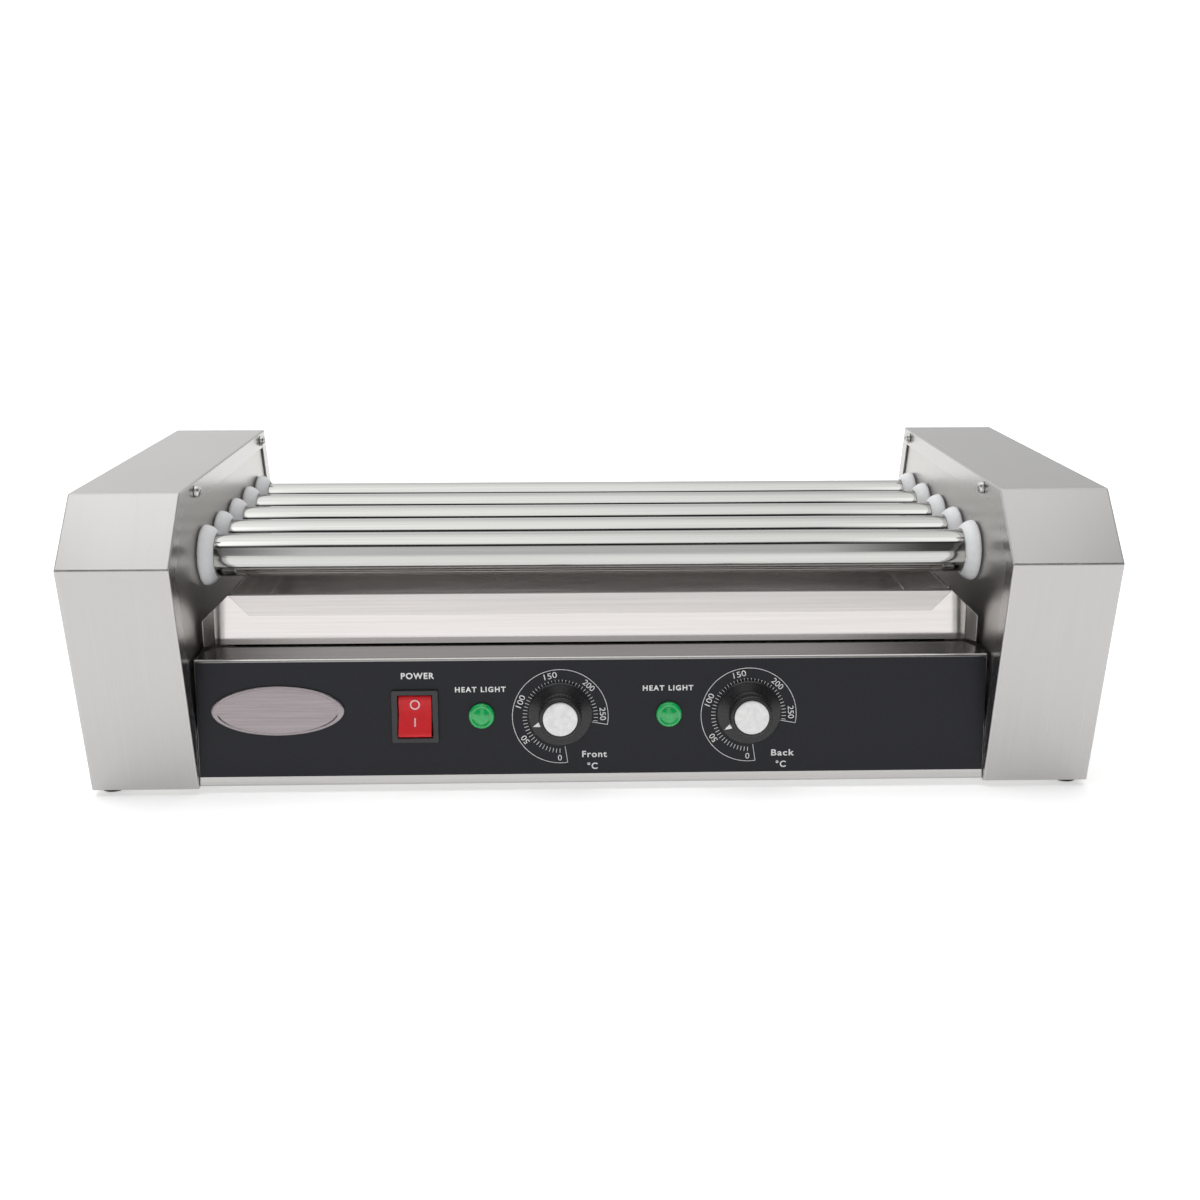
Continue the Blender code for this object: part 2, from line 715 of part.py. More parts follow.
def build_motor():
    """A synchronous gear motor on its bracket, with the sprocket shaft in a blind bore."""
    axis = Matrix.Translation((0, *place(MOTOR_Y, MOTOR_HEIGHT)))
    case = [
        (0, MOTOR_PLATE_X + 0.012),
        (MOTOR_SHAFT + GAP, MOTOR_PLATE_X + 0.012),
        (MOTOR_SHAFT + GAP, MOTOR_PLATE_X + PLATE + GAP),
        (MOTOR_RADIUS + 0.002, MOTOR_PLATE_X + PLATE + GAP),
        (MOTOR_RADIUS + 0.002, MOTOR_PLATE_X + 0.022),
        (MOTOR_RADIUS - 0.003, MOTOR_PLATE_X + 0.022),
        (MOTOR_RADIUS - 0.003, MOTOR_PLATE_X + 0.038),
        (MOTOR_RADIUS - 0.006, MOTOR_PLATE_X + 0.040),
        (0, MOTOR_PLATE_X + 0.040),
    ]
    turned("drive_motor", case, ROUND, zinc_steel(), axis @ ALONG_X)
    half = MOTOR_RADIUS + 0.006
    low, high = place(MOTOR_Y - half, GAP * 3 + PLATE), place(MOTOR_Y + half, MOTOR_HEIGHT + 0.024)
    plate_low, plate_high = (MOTOR_PLATE_X, *low), (MOTOR_PLATE_X + PLATE, *high)
    bracket = box("motor_bracket", plate_low, plate_high, zinc_steel())
    ends = MOTOR_PLATE_X - PLATE, MOTOR_PLATE_X + 3 * PLATE

    def fill_hole(bm):
        add_rod(bm, MOTOR_SHAFT + 3 * GAP, *ends, SMALL_ROUND, axis @ ALONG_X)

    combine(bracket, cutter("motor_bracket_hole", fill_hole))

    chain_steel = bpy.data.materials["chain_steel"]
    outline = sprocket_outline(MOTOR_TEETH, MOTOR_SPROCKET_TIP)
    sprocket = prism("motor_sprocket", outline, SPROCKET_X, SPROCKET_X + SPROCKET_WIDTH, chain_steel, axis)
    shaft = cutter(
        "motor_shaft",
        lambda bm: add_rod(bm, MOTOR_SHAFT, SPROCKET_X - 0.002, MOTOR_PLATE_X + 0.011, SMALL_ROUND, ALONG_X),
        axis,
    )
    combine(sprocket, shaft, "UNION")


def build_chain():
    """The roller chain as one taut loop that clears the sprocket tips."""
    first, last = roller_centre(0), roller_centre(ROLLER_COUNT - 1)
    motor = place(MOTOR_Y, MOTOR_HEIGHT)
    circles = [(*first, SPROCKET_TIP), (*last, SPROCKET_TIP), (*motor, MOTOR_SPROCKET_TIP)]
    outer = belt_outline(circles, 2 * GAP + CHAIN_THICKNESS)
    inner = belt_outline(circles, 2 * GAP)
    skin = bpy.data.materials["chain_steel"]
    chain = prism("drive_chain", outer, SPROCKET_X, SPROCKET_X + SPROCKET_WIDTH, skin)
    reach = SPROCKET_X - SPROCKET_WIDTH, SPROCKET_X + 2 * SPROCKET_WIDTH
    combine(chain, cutter("chain_loop", lambda bm: add_prism(bm, inner, *reach)))


# ---- mains side ----


def build_mains():
    """The cord gland in the back wall and the terminal block behind it; no cord is fitted."""
    outward = Matrix.Rotation(math.radians(90), 4, "X")
    spot = Matrix.Translation((GLAND_X, *place(BASE_BACK_Y, GLAND_HEIGHT))) @ Matrix.Rotation(math.pi, 4, "Z")
    profile = [
        (GLAND_BORE, -0.010),
        (GLAND_BARREL, -0.010),
        (GLAND_BARREL, GAP),
        (0.010, GAP),
        (0.010, 0.006),
        (0.007, 0.011),
        (GLAND_BORE, 0.011),
    ]
    turned("cord_gland", profile, ROUND, black_plastic(), spot @ outward, ring=True)
    low = (0.080, *place(0.170, 0.003))
    high = (0.125, *place(0.192, 0.020))
    block = box("terminal_block", low, high, surface("white_nylon", (0.8, 0.8, 0.76), 0.0, 0.5))

    def fill(bm):
        for x in (0.090, 0.1025, 0.115):
            top = Matrix.Translation((x, (low[1] + high[1]) / 2, high[2]))
            add_rod(bm, 0.0028, -0.006, 0.002, SMALL_ROUND, top)

    combine(block, cutter("terminal_screw_wells", fill))


def build_grill():
    cutouts = panel_cutouts()
    build_base(cutouts)
    build_overlay(cutouts)
    build_badge()
    build_switch()
    for place_name, x in LAMP_PLACES.items():
        build_lamp(place_name, x)
    for place_name, x in KNOB_PLACES.items():
        build_thermostat(place_name, x)
        build_knob(place_name, x)
    build_tray()
    for index in range(ROLLER_COUNT):
        build_roller(index)
        build_roller_sprocket(index)
        build_heater(index)
    for side, sign in SIDES.items():
        build_cover(side, sign)
        build_side_frame(side, sign)
        build_heater_bracket(side, sign)
        for index in range(ROLLER_COUNT):
            build_bushing(side, sign, index)
        for end, back in SCREW_YS.items():
            build_screw(side, sign, end, back)
        for end, back in FOOT_YS.items():
            build_foot(side, sign, end, back)
    build_motor()
    build_chain()
    build_mains()


for old in list(bpy.data.objects):
    bpy.data.objects.remove(old)
build_grill()
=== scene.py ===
import json
import math

import bpy
from mathutils import Matrix, Vector


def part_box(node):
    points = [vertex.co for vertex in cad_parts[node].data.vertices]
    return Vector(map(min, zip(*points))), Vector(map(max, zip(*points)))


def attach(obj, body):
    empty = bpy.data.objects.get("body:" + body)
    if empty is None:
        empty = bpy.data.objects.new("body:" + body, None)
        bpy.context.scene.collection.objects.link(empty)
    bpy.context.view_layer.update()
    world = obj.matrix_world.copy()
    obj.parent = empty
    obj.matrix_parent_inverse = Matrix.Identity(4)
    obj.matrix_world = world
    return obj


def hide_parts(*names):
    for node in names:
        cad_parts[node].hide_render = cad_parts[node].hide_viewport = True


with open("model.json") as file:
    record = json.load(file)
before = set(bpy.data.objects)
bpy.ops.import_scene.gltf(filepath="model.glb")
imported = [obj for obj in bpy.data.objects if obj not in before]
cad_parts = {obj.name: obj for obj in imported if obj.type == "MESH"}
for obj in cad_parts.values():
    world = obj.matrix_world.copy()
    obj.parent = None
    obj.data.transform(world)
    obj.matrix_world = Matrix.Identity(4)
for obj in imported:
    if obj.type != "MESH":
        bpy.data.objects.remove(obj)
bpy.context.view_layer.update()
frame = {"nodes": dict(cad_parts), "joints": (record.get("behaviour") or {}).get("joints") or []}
joints = {joint["name"]: joint for joint in frame["joints"]}
nodes = frame["nodes"]


# ---- Roller tubes ----
# Five seamless steel tubes, drawn, ground and chrome polished, cut square with their ends
# deburred. They turn in plastic bushings, and a heating rod runs through each of them.
def deselect_all():
    if bpy.context.mode != "OBJECT":
        bpy.ops.object.mode_set(mode="OBJECT")
    bpy.ops.object.select_all(action="DESELECT")


def name_piece(name):
    """The object just added takes its name, and its place goes into its mesh."""
    piece = bpy.context.object
    piece.name = name
    piece.data.name = name
    bpy.ops.object.transform_apply(location=True, rotation=True, scale=True)
    return piece


def set_in(piece, matrix):
    """Move a piece to its place, and put the place into its mesh."""
    deselect_all()
    piece.select_set(True)
    bpy.context.view_layer.objects.active = piece
    piece.matrix_world = matrix
    bpy.ops.object.transform_apply(location=True, rotation=True, scale=True)
    return piece


def edit(piece):
    """Open one piece for editing with nothing in its mesh selected."""
    deselect_all()
    piece.select_set(True)
    bpy.context.view_layer.objects.active = piece
    bpy.ops.object.mode_set(mode="EDIT")
    bpy.ops.mesh.select_all(action="DESELECT")
    bpy.ops.object.mode_set(mode="OBJECT")


def pick(piece, kind, test):
    """Select the faces, edges or vertices that pass a test on (centre, normal or run)."""
    edit(piece)
    mesh = piece.data
    mode = {
        "FACE": (False, False, True), "EDGE": (False, True, False), "VERT": (True, False, False),
    }[kind]
    bpy.context.tool_settings.mesh_select_mode = mode
    for face in mesh.polygons:
        face.select = kind == "FACE" and test(face.center, face.normal)
    for line in mesh.edges:
        start, end = (mesh.vertices[index].co for index in line.vertices)
        line.select = kind == "EDGE" and test((start + end) / 2, end - start)
    for point in mesh.vertices:
        point.select = kind == "VERT" and test(point.co, point.normal)
    bpy.ops.object.mode_set(mode="EDIT")


def finish_with(piece, kind, **settings):
    """Add a modifier with its settings and apply it."""
    deselect_all()
    bpy.context.view_layer.objects.active = piece
    piece.select_set(True)
    modifier = piece.modifiers.new(kind.title(), kind)
    for setting, value in settings.items():
        setattr(modifier, setting, value)
    bpy.ops.object.modifier_apply(modifier=modifier.name)
    return piece


def smooth_over(piece):
    """Round faces shade smooth, and flat ones stay flat right up to their eased edges."""
    deselect_all()
    piece.select_set(True)
    bpy.context.view_layer.objects.active = piece
    bpy.ops.object.shade_smooth_by_angle(angle=math.radians(35))
    return finish_with(piece, "WEIGHTED_NORMAL", weight=100, keep_sharp=True)


def ease_edges(piece, width, segments=2, angle=30):
    finish_with(
        piece, "BEVEL", width=width, segments=segments, limit_method="ANGLE",
        angle_limit=math.radians(angle), harden_normals=False,
    )
    return smooth_over(piece)


def new_skin(name, colour, metallic=0.0, roughness=0.4, **sockets):
    """A Principled material and its node tree's parts, ready for a pattern."""
    skin = bpy.data.materials.new(name)
    skin.use_nodes = True
    shader = skin.node_tree.nodes["Principled BSDF"]
    shader.inputs["Base Color"].default_value = (*colour, 1.0)
    shader.inputs["Metallic"].default_value = metallic
    shader.inputs["Roughness"].default_value = roughness
    for socket, value in sockets.items():
        shader.inputs[socket.replace("_", " ")].default_value = value
    return skin, shader


def add_node(skin, kind, **settings):
    node = skin.node_tree.nodes.new("ShaderNode" + kind)
    for setting, value in settings.items():
        if setting in node.inputs:
            node.inputs[setting].default_value = value
        else:
            setattr(node, setting, value)
    return node


def grain(skin, stretch, scale=1.0, detail=3.0):
    """Noise on Object coordinates, stretched by a scale for each axis."""
    place = add_node(skin, "TexCoord")
    mapping = add_node(skin, "Mapping", Scale=stretch)
    noise = add_node(skin, "TexNoise", Scale=scale, Detail=detail, Roughness=0.6)
    skin.node_tree.links.new(place.outputs["Object"], mapping.inputs["Vector"])
    skin.node_tree.links.new(mapping.outputs["Vector"], noise.inputs["Vector"])
    return noise.outputs["Fac"]


RANGE_SOCKETS = ("From Min", "From Max", "To Min", "To Max")
GRAIN_SPAN = (0.3, 0.7)


def spread(skin, source, low_value, high_value, target):
    """Map a 0-1 pattern to a range on a shader's input."""
    ramp = add_node(skin, "MapRange")
    for socket, value in zip(RANGE_SOCKETS, (*GRAIN_SPAN, low_value, high_value)):
        ramp.inputs[socket].default_value = value
    skin.node_tree.links.new(source, ramp.inputs["Value"])
    skin.node_tree.links.new(ramp.outputs["Result"], target)


def tint(skin, source, dark, light, target):
    """Blend two colours by a 0-1 pattern."""
    ramp = add_node(skin, "ValToRGB")
    ramp.color_ramp.elements[0].position = 0.3
    ramp.color_ramp.elements[1].position = 0.7
    ramp.color_ramp.elements[0].color = (*dark, 1.0)
    ramp.color_ramp.elements[1].color = (*light, 1.0)
    skin.node_tree.links.new(source, ramp.inputs["Fac"])
    skin.node_tree.links.new(ramp.outputs["Color"], target)


def relief(skin, source, strength, depth, target):
    bump = add_node(skin, "Bump", Strength=strength, Distance=depth)
    skin.node_tree.links.new(source, bump.inputs["Height"])
    skin.node_tree.links.new(bump.outputs["Normal"], target)


def chrome_tube_skin():
    skin, shader = new_skin("chrome_tube", (0.51, 0.51, 0.50), 1.0, 0.06)
    drawn = grain(skin, (6, 900, 900))
    haze = grain(skin, (18, 90, 90), detail=5.0)
    spread(skin, haze, 0.035, 0.11, shader.inputs["Roughness"])
    tint(skin, drawn, (0.48, 0.48, 0.465), (0.54, 0.54, 0.525), shader.inputs["Base Color"])
    relief(skin, drawn, 0.06, 0.00004, shader.inputs["Normal"])
    return skin


ROLLER_COUNT = 5
TUBE_WALL = 0.001
chrome_tube = chrome_tube_skin()
for number in range(1, ROLLER_COUNT + 1):
    near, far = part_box(f"roller_{number}")
    middle = (near + far) / 2
    deselect_all()
    bpy.ops.mesh.primitive_cylinder_add(
        vertices=96, radius=(far.z - near.z) / 2, depth=far.x - near.x,
        end_fill_type="NOTHING", location=middle, rotation=(0, math.pi / 2, 0),
    )
    tube = name_piece(f"roller_{number}_tube")
    finish_with(tube, "SOLIDIFY", thickness=TUBE_WALL, offset=-1)
    ease_edges(tube, 0.0002)
    tube.data.materials.append(chrome_tube)
    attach(tube, f"roller_{number}_assembly")
    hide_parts(f"roller_{number}")


# ---- Roller bushings ----
# Turned PTFE rings pressed into the side frames. The flange that shows is a dome that
# narrows towards the roller, with an eased rim standing just off the frame.
def turned_piece(name, profile, matrix, sides=64, ring=False):
    """Rings extruded one after another along (radius, height) points, then set in place."""
    deselect_all()
    radius, height = profile[0]
    bpy.ops.mesh.primitive_circle_add(vertices=sides, radius=radius, location=(0, 0, height))
    piece = name_piece(name)
    bpy.ops.object.mode_set(mode="EDIT")
    bpy.ops.mesh.select_mode(type="VERT")
    bpy.ops.mesh.select_all(action="SELECT")
    if not ring:
        bpy.ops.mesh.edge_face_add()
        bpy.ops.mesh.select_all(action="SELECT")
    for (radius, height), (next_radius, next_height) in zip(profile, profile[1:]):
        bpy.ops.mesh.extrude_region_move(
            TRANSFORM_OT_translate={"value": (0, 0, next_height - height)}
        )
        share = next_radius / radius
        bpy.ops.transform.resize(value=(share, share, 1))
    if ring:
        bpy.ops.mesh.select_all(action="SELECT")
        bpy.ops.mesh.remove_doubles(threshold=0.000001)
    bpy.ops.mesh.select_all(action="SELECT")
    bpy.ops.mesh.normals_make_consistent(inside=False)
    bpy.ops.object.mode_set(mode="OBJECT")
    return set_in(piece, matrix)


def ptfe_skin():
    skin, shader = new_skin(
        "white_ptfe", (0.84, 0.84, 0.86), 0.0, 0.42,
        Subsurface_Weight=0.6, Subsurface_Scale=0.008, Specular_IOR_Level=0.4,
    )
    shader.inputs["Subsurface Radius"].default_value = (1.0, 0.9, 0.9)
    mottle = grain(skin, (260, 260, 260), detail=4.0)
    tint(skin, mottle, (0.82, 0.82, 0.84), (0.87, 0.87, 0.89), shader.inputs["Base Color"])
    spread(skin, mottle, 0.36, 0.5, shader.inputs["Roughness"])
    relief(skin, grain(skin, (900, 900, 900)), 0.1, 0.00005, shader.inputs["Normal"])
    return skin


white_ptfe = ptfe_skin()
SIDES = {"left": -1, "right": 1}
BUSHING_PLAY = 0.0003
FLANGE_LENGTH = 0.0084
for side, sign in SIDES.items():
    for number in range(1, ROLLER_COUNT + 1):
        node = f"{side}_bushing_{number}"
        near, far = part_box(node)
        tube_low, tube_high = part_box(f"roller_{number}")
        rim = (far.z - near.z) / 2
        bore = (tube_high.z - tube_low.z) / 2 + BUSHING_PLAY
        middle = (near + far) / 2
        nose = min(abs(near.x), abs(far.x))
        tail = max(abs(near.x), abs(far.x))
        flange = nose + FLANGE_LENGTH
        profile = [
            (bore, -nose - 0.0005), (bore + 0.0003, -nose), (rim - 0.0047, -nose - 0.0001),
            (rim - 0.0042, -nose - 0.0005), (rim - 0.0030, -nose - 0.0013),
            (rim - 0.0016, -nose - 0.0027), (rim - 0.0006, -nose - 0.0045),
            (rim - 0.0001, -nose - 0.0061), (rim, -nose - 0.0069),
            (rim - 0.0003, -flange + 0.0006), (rim - 0.0012, -flange), (rim - 0.0033, -flange),
            (rim - 0.0033, -tail), (bore, -tail), (bore, -nose - 0.0005),
        ]
        facing = Matrix.Rotation(math.radians(-90 * sign), 4, "Y")
        spot = Matrix.Translation((0, middle.y, middle.z)) @ facing
        ring = turned_piece(f"{node}_ring", profile, spot, sides=72, ring=True)
        ease_edges(ring, 0.00025)
        ring.data.materials.append(white_ptfe)
        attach(ring, "chassis")
        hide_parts(node)


# ---- End covers ----
# Stainless sheet folded over the ends: one wrap for front, top and back, closed by the outer
# side, with a narrow return flange screwed to the side frame. The grain follows the wrap.
def brushed_skin(name, stretch, dark, light, rough=(0.23, 0.28), strength=0.04):
    skin, shader = new_skin(name, light, 1.0, rough[0])
    lines = grain(skin, stretch, detail=4.0)
    clouds = grain(skin, (9, 9, 9), detail=2.0)
    tint(skin, lines, dark, light, shader.inputs["Base Color"])
    mixed = add_node(skin, "Mix", data_type="FLOAT")
    mixed.inputs["Factor"].default_value = 0.35
    skin.node_tree.links.new(lines, mixed.inputs["A"])
    skin.node_tree.links.new(clouds, mixed.inputs["B"])
    spread(skin, mixed.outputs["Result"], *rough, shader.inputs["Roughness"])
    relief(skin, lines, strength, 0.00003, shader.inputs["Normal"])
    return skin


SHEET = 0.001
COVER_BEND = 0.0010
RETURN_FLANGE = 0.011
STEEL_DARK = (0.440, 0.430, 0.425)
STEEL_LIGHT = (0.462, 0.452, 0.447)
wrap_grain = brushed_skin("cover_wrap_grain", (1500, 14, 14), STEEL_DARK, STEEL_LIGHT)
side_grain = brushed_skin("cover_side_grain", (14, 1500, 14), STEEL_DARK, STEEL_LIGHT)
# The bends take a slightly lighter steel than the flat sheet: partly grain burnished by the fold, partly a
# painted highlight along the folds.
bend_sheen, bend_shader = new_skin("cover_bend_sheen", (0.49, 0.48, 0.475), 1.0, 0.35)
bend_cloud = grain(bend_sheen, (160, 160, 160), detail=3.0)
tint(
    bend_sheen, bend_cloud, (0.46, 0.45, 0.445), (0.52, 0.51, 0.505),
    bend_shader.inputs["Base Color"],
)
spread(bend_sheen, bend_cloud, 0.3, 0.42, bend_shader.inputs["Roughness"])


def outline_of(node, x):
    """The corners of a prism-like node's end face at x, in order round it."""
    corners = {}
    for point in nodes[node].data.vertices:
        if abs(point.co.x - x) < 0.0001:
            corners[(round(point.co.y, 5), round(point.co.z, 5))] = Vector((x, point.co.y, point.co.z))
    found = list(corners.values())
    centre = sum(found, Vector()) / len(found)
    return sorted(found, key=lambda point: math.atan2(point.z - centre.z, point.y - centre.y))


for side, sign in SIDES.items():
    node = f"{side}_end_cover"
    near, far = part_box(node)
    outer_x, inner_x = (near.x, far.x) if sign < 0 else (far.x, near.x)
    corners = outline_of(node, outer_x)
    deselect_all()
    bpy.ops.mesh.primitive_circle_add(vertices=len(corners), fill_type="NGON")
    cover = name_piece(f"{side}_cover_shell")
    for point, corner in zip(cover.data.vertices, corners):
        point.co = corner
    pick(cover, "FACE", lambda centre, normal: True)
    bpy.ops.mesh.extrude_region_move(TRANSFORM_OT_translate={"value": (inner_x - outer_x, 0, 0)})
    bpy.ops.mesh.select_all(action="SELECT")
    bpy.ops.mesh.normals_make_consistent(inside=False)
    pick(cover, "FACE", lambda centre, normal: normal.x * sign < -0.9)
    bpy.ops.mesh.inset(thickness=RETURN_FLANGE, use_even_offset=True)
    bpy.ops.mesh.delete(type="FACE")
    bottom = near.z
    pick(cover, "FACE", lambda centre, normal: centre.z < bottom + RETURN_FLANGE * 0.6)
    bpy.ops.mesh.delete(type="FACE")
    pick(cover, "VERT", lambda spot, normal: spot.z < bottom + RETURN_FLANGE * 1.3)
    bpy.ops.transform.resize(value=(1, 1, 0), center_override=(0, 0, bottom))
    bpy.ops.object.mode_set(mode="OBJECT")
    cover.data.materials.append(wrap_grain)
    cover.data.materials.append(side_grain)
    cover.data.materials.append(bend_sheen)
    for face in cover.data.polygons:
        face.material_index = 1 if abs(face.normal.x) > 0.9 else 0
    finish_with(
        cover, "BEVEL", width=COVER_BEND, segments=4, limit_method="ANGLE",
        angle_limit=math.radians(12), offset_type="OFFSET", material=2,
    )
    finish_with(cover, "SOLIDIFY", thickness=SHEET, offset=-1)
    smooth_over(cover)
    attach(cover, "chassis")
    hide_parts(node)


# ---- Side frames ----
# The upright inner walls, cut from polished stainless plate. They stay as modelled and take
# a bright mill-polished finish with faint rolling lines.
def polished_skin(name, stretch, rough=(0.17, 0.24)):
    skin, shader = new_skin(name, (0.48, 0.47, 0.455), 1.0, rough[0])
    lines = grain(skin, stretch, detail=3.0)
    haze = grain(skin, (12, 12, 12), detail=4.0)
    tint(skin, haze, (0.44, 0.43, 0.415), (0.52, 0.51, 0.49), shader.inputs["Base Color"])
    spread(skin, haze, *rough, shader.inputs["Roughness"])
    relief(skin, lines, 0.12, 0.00002, shader.inputs["Normal"])
    return skin


def carry(skin, *names):
    """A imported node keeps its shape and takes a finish."""
    for name in names:
        node = nodes[name]
        if not node.data.materials:
            node.data.materials.append(skin)
        for held in node.material_slots:
            held.link = "DATA"
            held.material = skin


wall_polish = polished_skin("wall_polish", (12, 700, 12), (0.27, 0.36))
carry(wall_polish, "left_side_frame", "right_side_frame")


# ---- Cover screws ----
# Zinc-plated pan-head machine screws with a cross recess, one near each end of each flange,
# driven from the roller side.
zinc, zinc_shader = new_skin("zinc_plate", (0.62, 0.62, 0.60), 1.0, 0.3)
zinc_cloud = grain(zinc, (220, 220, 220), detail=5.0)
tint(zinc, zinc_cloud, (0.50, 0.50, 0.49), (0.68, 0.68, 0.66), zinc_shader.inputs["Base Color"])
spread(zinc, zinc_cloud, 0.24, 0.42, zinc_shader.inputs["Roughness"])


def cut_with(piece, tool):
    """Cut a piece with a tool and throw the tool away."""
    deselect_all()
    bpy.context.view_layer.objects.active = piece
    modifier = piece.modifiers.new("Cut", "BOOLEAN")
    modifier.object = tool
    modifier.solver = "EXACT"
    bpy.ops.object.modifier_apply(modifier=modifier.name)
    bpy.data.objects.remove(tool)


for side, sign in SIDES.items():
    for end in ("front", "rear"):
        node = f"{side}_{end}_screw"
        near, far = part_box(node)
        middle = (near + far) / 2
        head_x = near.x if sign > 0 else far.x
        head = (far.z - near.z) / 2
        facing = Matrix.Rotation(math.radians(-90 * sign), 4, "Y")
        profile = [
            (0.0015, -0.0098), (0.0015, -0.0030), (head, -0.0030), (head, -0.0020),
            (head * 0.95, -0.0012), (head * 0.78, -0.0005), (head * 0.4, -0.0001), (0.00005, 0.0),
        ]
        spot = Matrix.Translation((head_x - sign * 0.0010, middle.y, middle.z)) @ facing
        screw = turned_piece(f"{node}_head", profile, spot, sides=32)
        for turn in (25, 115):
            deselect_all()
            bpy.ops.mesh.primitive_cube_add(size=1, scale=(0.0007, 0.0040, 0.0024))
            blade = name_piece("driver_blade")
            cut_with(screw, set_in(blade, spot @ Matrix.Rotation(math.radians(turn), 4, "Z")))
        ease_edges(screw, 0.00008)
        screw.data.materials.append(zinc)
        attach(screw, "chassis")
        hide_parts(node)


# ---- Base housing ----
# One sheet folded into the front panel, the deck under the tray and the back wall, with lips
# turned in along the bottom. The grain runs along the width.
base_grain = brushed_skin(
    "base_grain", (10, 1300, 1300), (0.44, 0.43, 0.42), (0.50, 0.49, 0.48), (0.14, 0.22)
)
BASE_LIP = 0.012
BASE_BEND = 0.0016
panel_out = -Vector(joints["front_knob_turn"]["axis"])
panel_up = panel_out.cross(Vector((1, 0, 0)))
panel_turn = Matrix((Vector((1, 0, 0)), panel_up, panel_out)).transposed().to_4x4()
knob_line = Vector((0, *joints["front_knob_turn"]["pos_m"][1:]))


def round_folds(piece, width, segments=4):
    """Rounds the bends of a folded sheet."""
    finish_with(
        piece, "BEVEL", width=width, segments=segments,
        limit_method="ANGLE", angle_limit=math.radians(30),
    )


def on_panel(x, up=0.0, out=0.0):
    """A matrix on the sloping panel: X to the right, Y up the slope, Z out of it."""
    return Matrix.Translation(knob_line) @ panel_turn @ Matrix.Translation((x, up, out))


def panel_box(node):
    """A node's lowest and highest corners in the panel's own axes, from the knob line."""
    back = on_panel(0).inverted()
    points = [back @ point.co for point in nodes[node].data.vertices]
    return tuple(Vector(end(point[axis] for point in points) for axis in range(3)) for end in (min, max))


def panel_spot(node):
    """The middle of a node on the panel, as (x, height above the knob line)."""
    low, high = panel_box(node)
    return (low.x + high.x) / 2, (low.y + high.y) / 2


near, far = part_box("base_housing")
deselect_all()
bpy.ops.mesh.primitive_cube_add(size=1, location=(near + far) / 2, scale=far - near)
base = name_piece("base_shell")
slope = panel_up.y / panel_up.z
pick(base, "VERT", lambda spot, normal: spot.y < 0 and spot.z > near.z + 0.01)
bpy.ops.transform.translate(value=(0, slope * (far.z - near.z), 0))
pick(base, "FACE", lambda centre, normal: normal.z < -0.9 or abs(normal.x) > 0.9)
bpy.ops.mesh.delete(type="ONLY_FACE")
for row, step in ((-1, BASE_LIP), (1, -BASE_LIP)):
    pick(
        base, "EDGE",
        lambda centre, run: abs(run.x) > 0.1 and centre.z < near.z + 0.01 and centre.y * row > 0.1,
    )
    bpy.ops.mesh.extrude_region_move(TRANSFORM_OT_translate={"value": (0, step, 0)})
bpy.ops.mesh.select_all(action="SELECT")
bpy.ops.mesh.normals_make_consistent(inside=False)
bpy.ops.object.mode_set(mode="OBJECT")
base.data.materials.append(base_grain)
round_folds(base, BASE_BEND)
finish_with(base, "SOLIDIFY", thickness=SHEET, offset=-1)
CUT_DEPTH = 0.008
SWITCH_CUT = (0.0226, 0.0281)
LAMP_HOLE = 0.005
KNOB_HOLE = 0.0033
deselect_all()
bpy.ops.mesh.primitive_cube_add(size=1, scale=(*SWITCH_CUT, CUT_DEPTH))
switch_cut = name_piece("switch_cut")
cut_with(base, set_in(switch_cut, on_panel(*panel_spot("switch_housing"))))
for node, radius in (
    ("front_heat_lamp", LAMP_HOLE), ("back_heat_lamp", LAMP_HOLE),
    ("front_heat_knob", KNOB_HOLE), ("back_heat_knob", KNOB_HOLE),
):
    deselect_all()
    bpy.ops.mesh.primitive_cylinder_add(vertices=32, radius=radius, depth=CUT_DEPTH)
    hole = name_piece("round_cut")
    cut_with(base, set_in(hole, on_panel(*panel_spot(node))))
smooth_over(base)
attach(base, "chassis")
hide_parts("base_housing")


# ---- Control overlay ----
# A charcoal printed sheet stuck to the front panel, with a satin face and a bare strip of
# steel left below it.
overlay_skin, overlay_shader = new_skin(
    "charcoal_overlay", (0.012, 0.0125, 0.018), 0.0, 0.34, Specular_IOR_Level=0.22
)
overlay_mottle = grain(overlay_skin, (700, 700, 700), detail=5.0)
tint(
    overlay_skin, overlay_mottle, (0.011, 0.0115, 0.016), (0.014, 0.0145, 0.020),
    overlay_shader.inputs["Base Color"],
)
spread(overlay_skin, overlay_mottle, 0.30, 0.40, overlay_shader.inputs["Roughness"])
relief(overlay_skin, overlay_mottle, 0.15, 0.00003, overlay_shader.inputs["Normal"])
carry(overlay_skin, "control_overlay")


# ---- Panel printing ----
# White ink on the overlay: a scale with numbers and ticks round each knob, and plain words
# that say what each control does.
ink, ink_shader = new_skin("white_ink", (0.80, 0.80, 0.80), 0.0, 0.5)
ink_wear = grain(ink, (900, 900, 900), detail=4.0)
tint(ink, ink_wear, (0.66, 0.66, 0.66), (0.86, 0.86, 0.86), ink_shader.inputs["Base Color"])
INK = 0.00006
OVERLAY_FACE = 0.00062
DIAL_DROP = -0.0018
DIAL_ARC = 0.0277
DIAL_START = -81.5
DIAL_END = -370.5
TICK_RING = 0.0205
NUMBER_RING = 0.0246
DIAL_ZERO = -91.0
DIAL_TURN = 276.6
DIAL_TOP = 250
DIAL_STEP = 5
DIAL_WORDS = {
    "front": (("Front", 0.0197, -0.0244, 0.0144, 0.0038), ("°C", 0.0185, -0.0314, 0.0060, 0.0040)),
    "back": (("Back", 0.0202, -0.0246, 0.0134, 0.0038), ("°C", 0.0192, -0.0314, 0.0060, 0.0040)),
}
prints = []


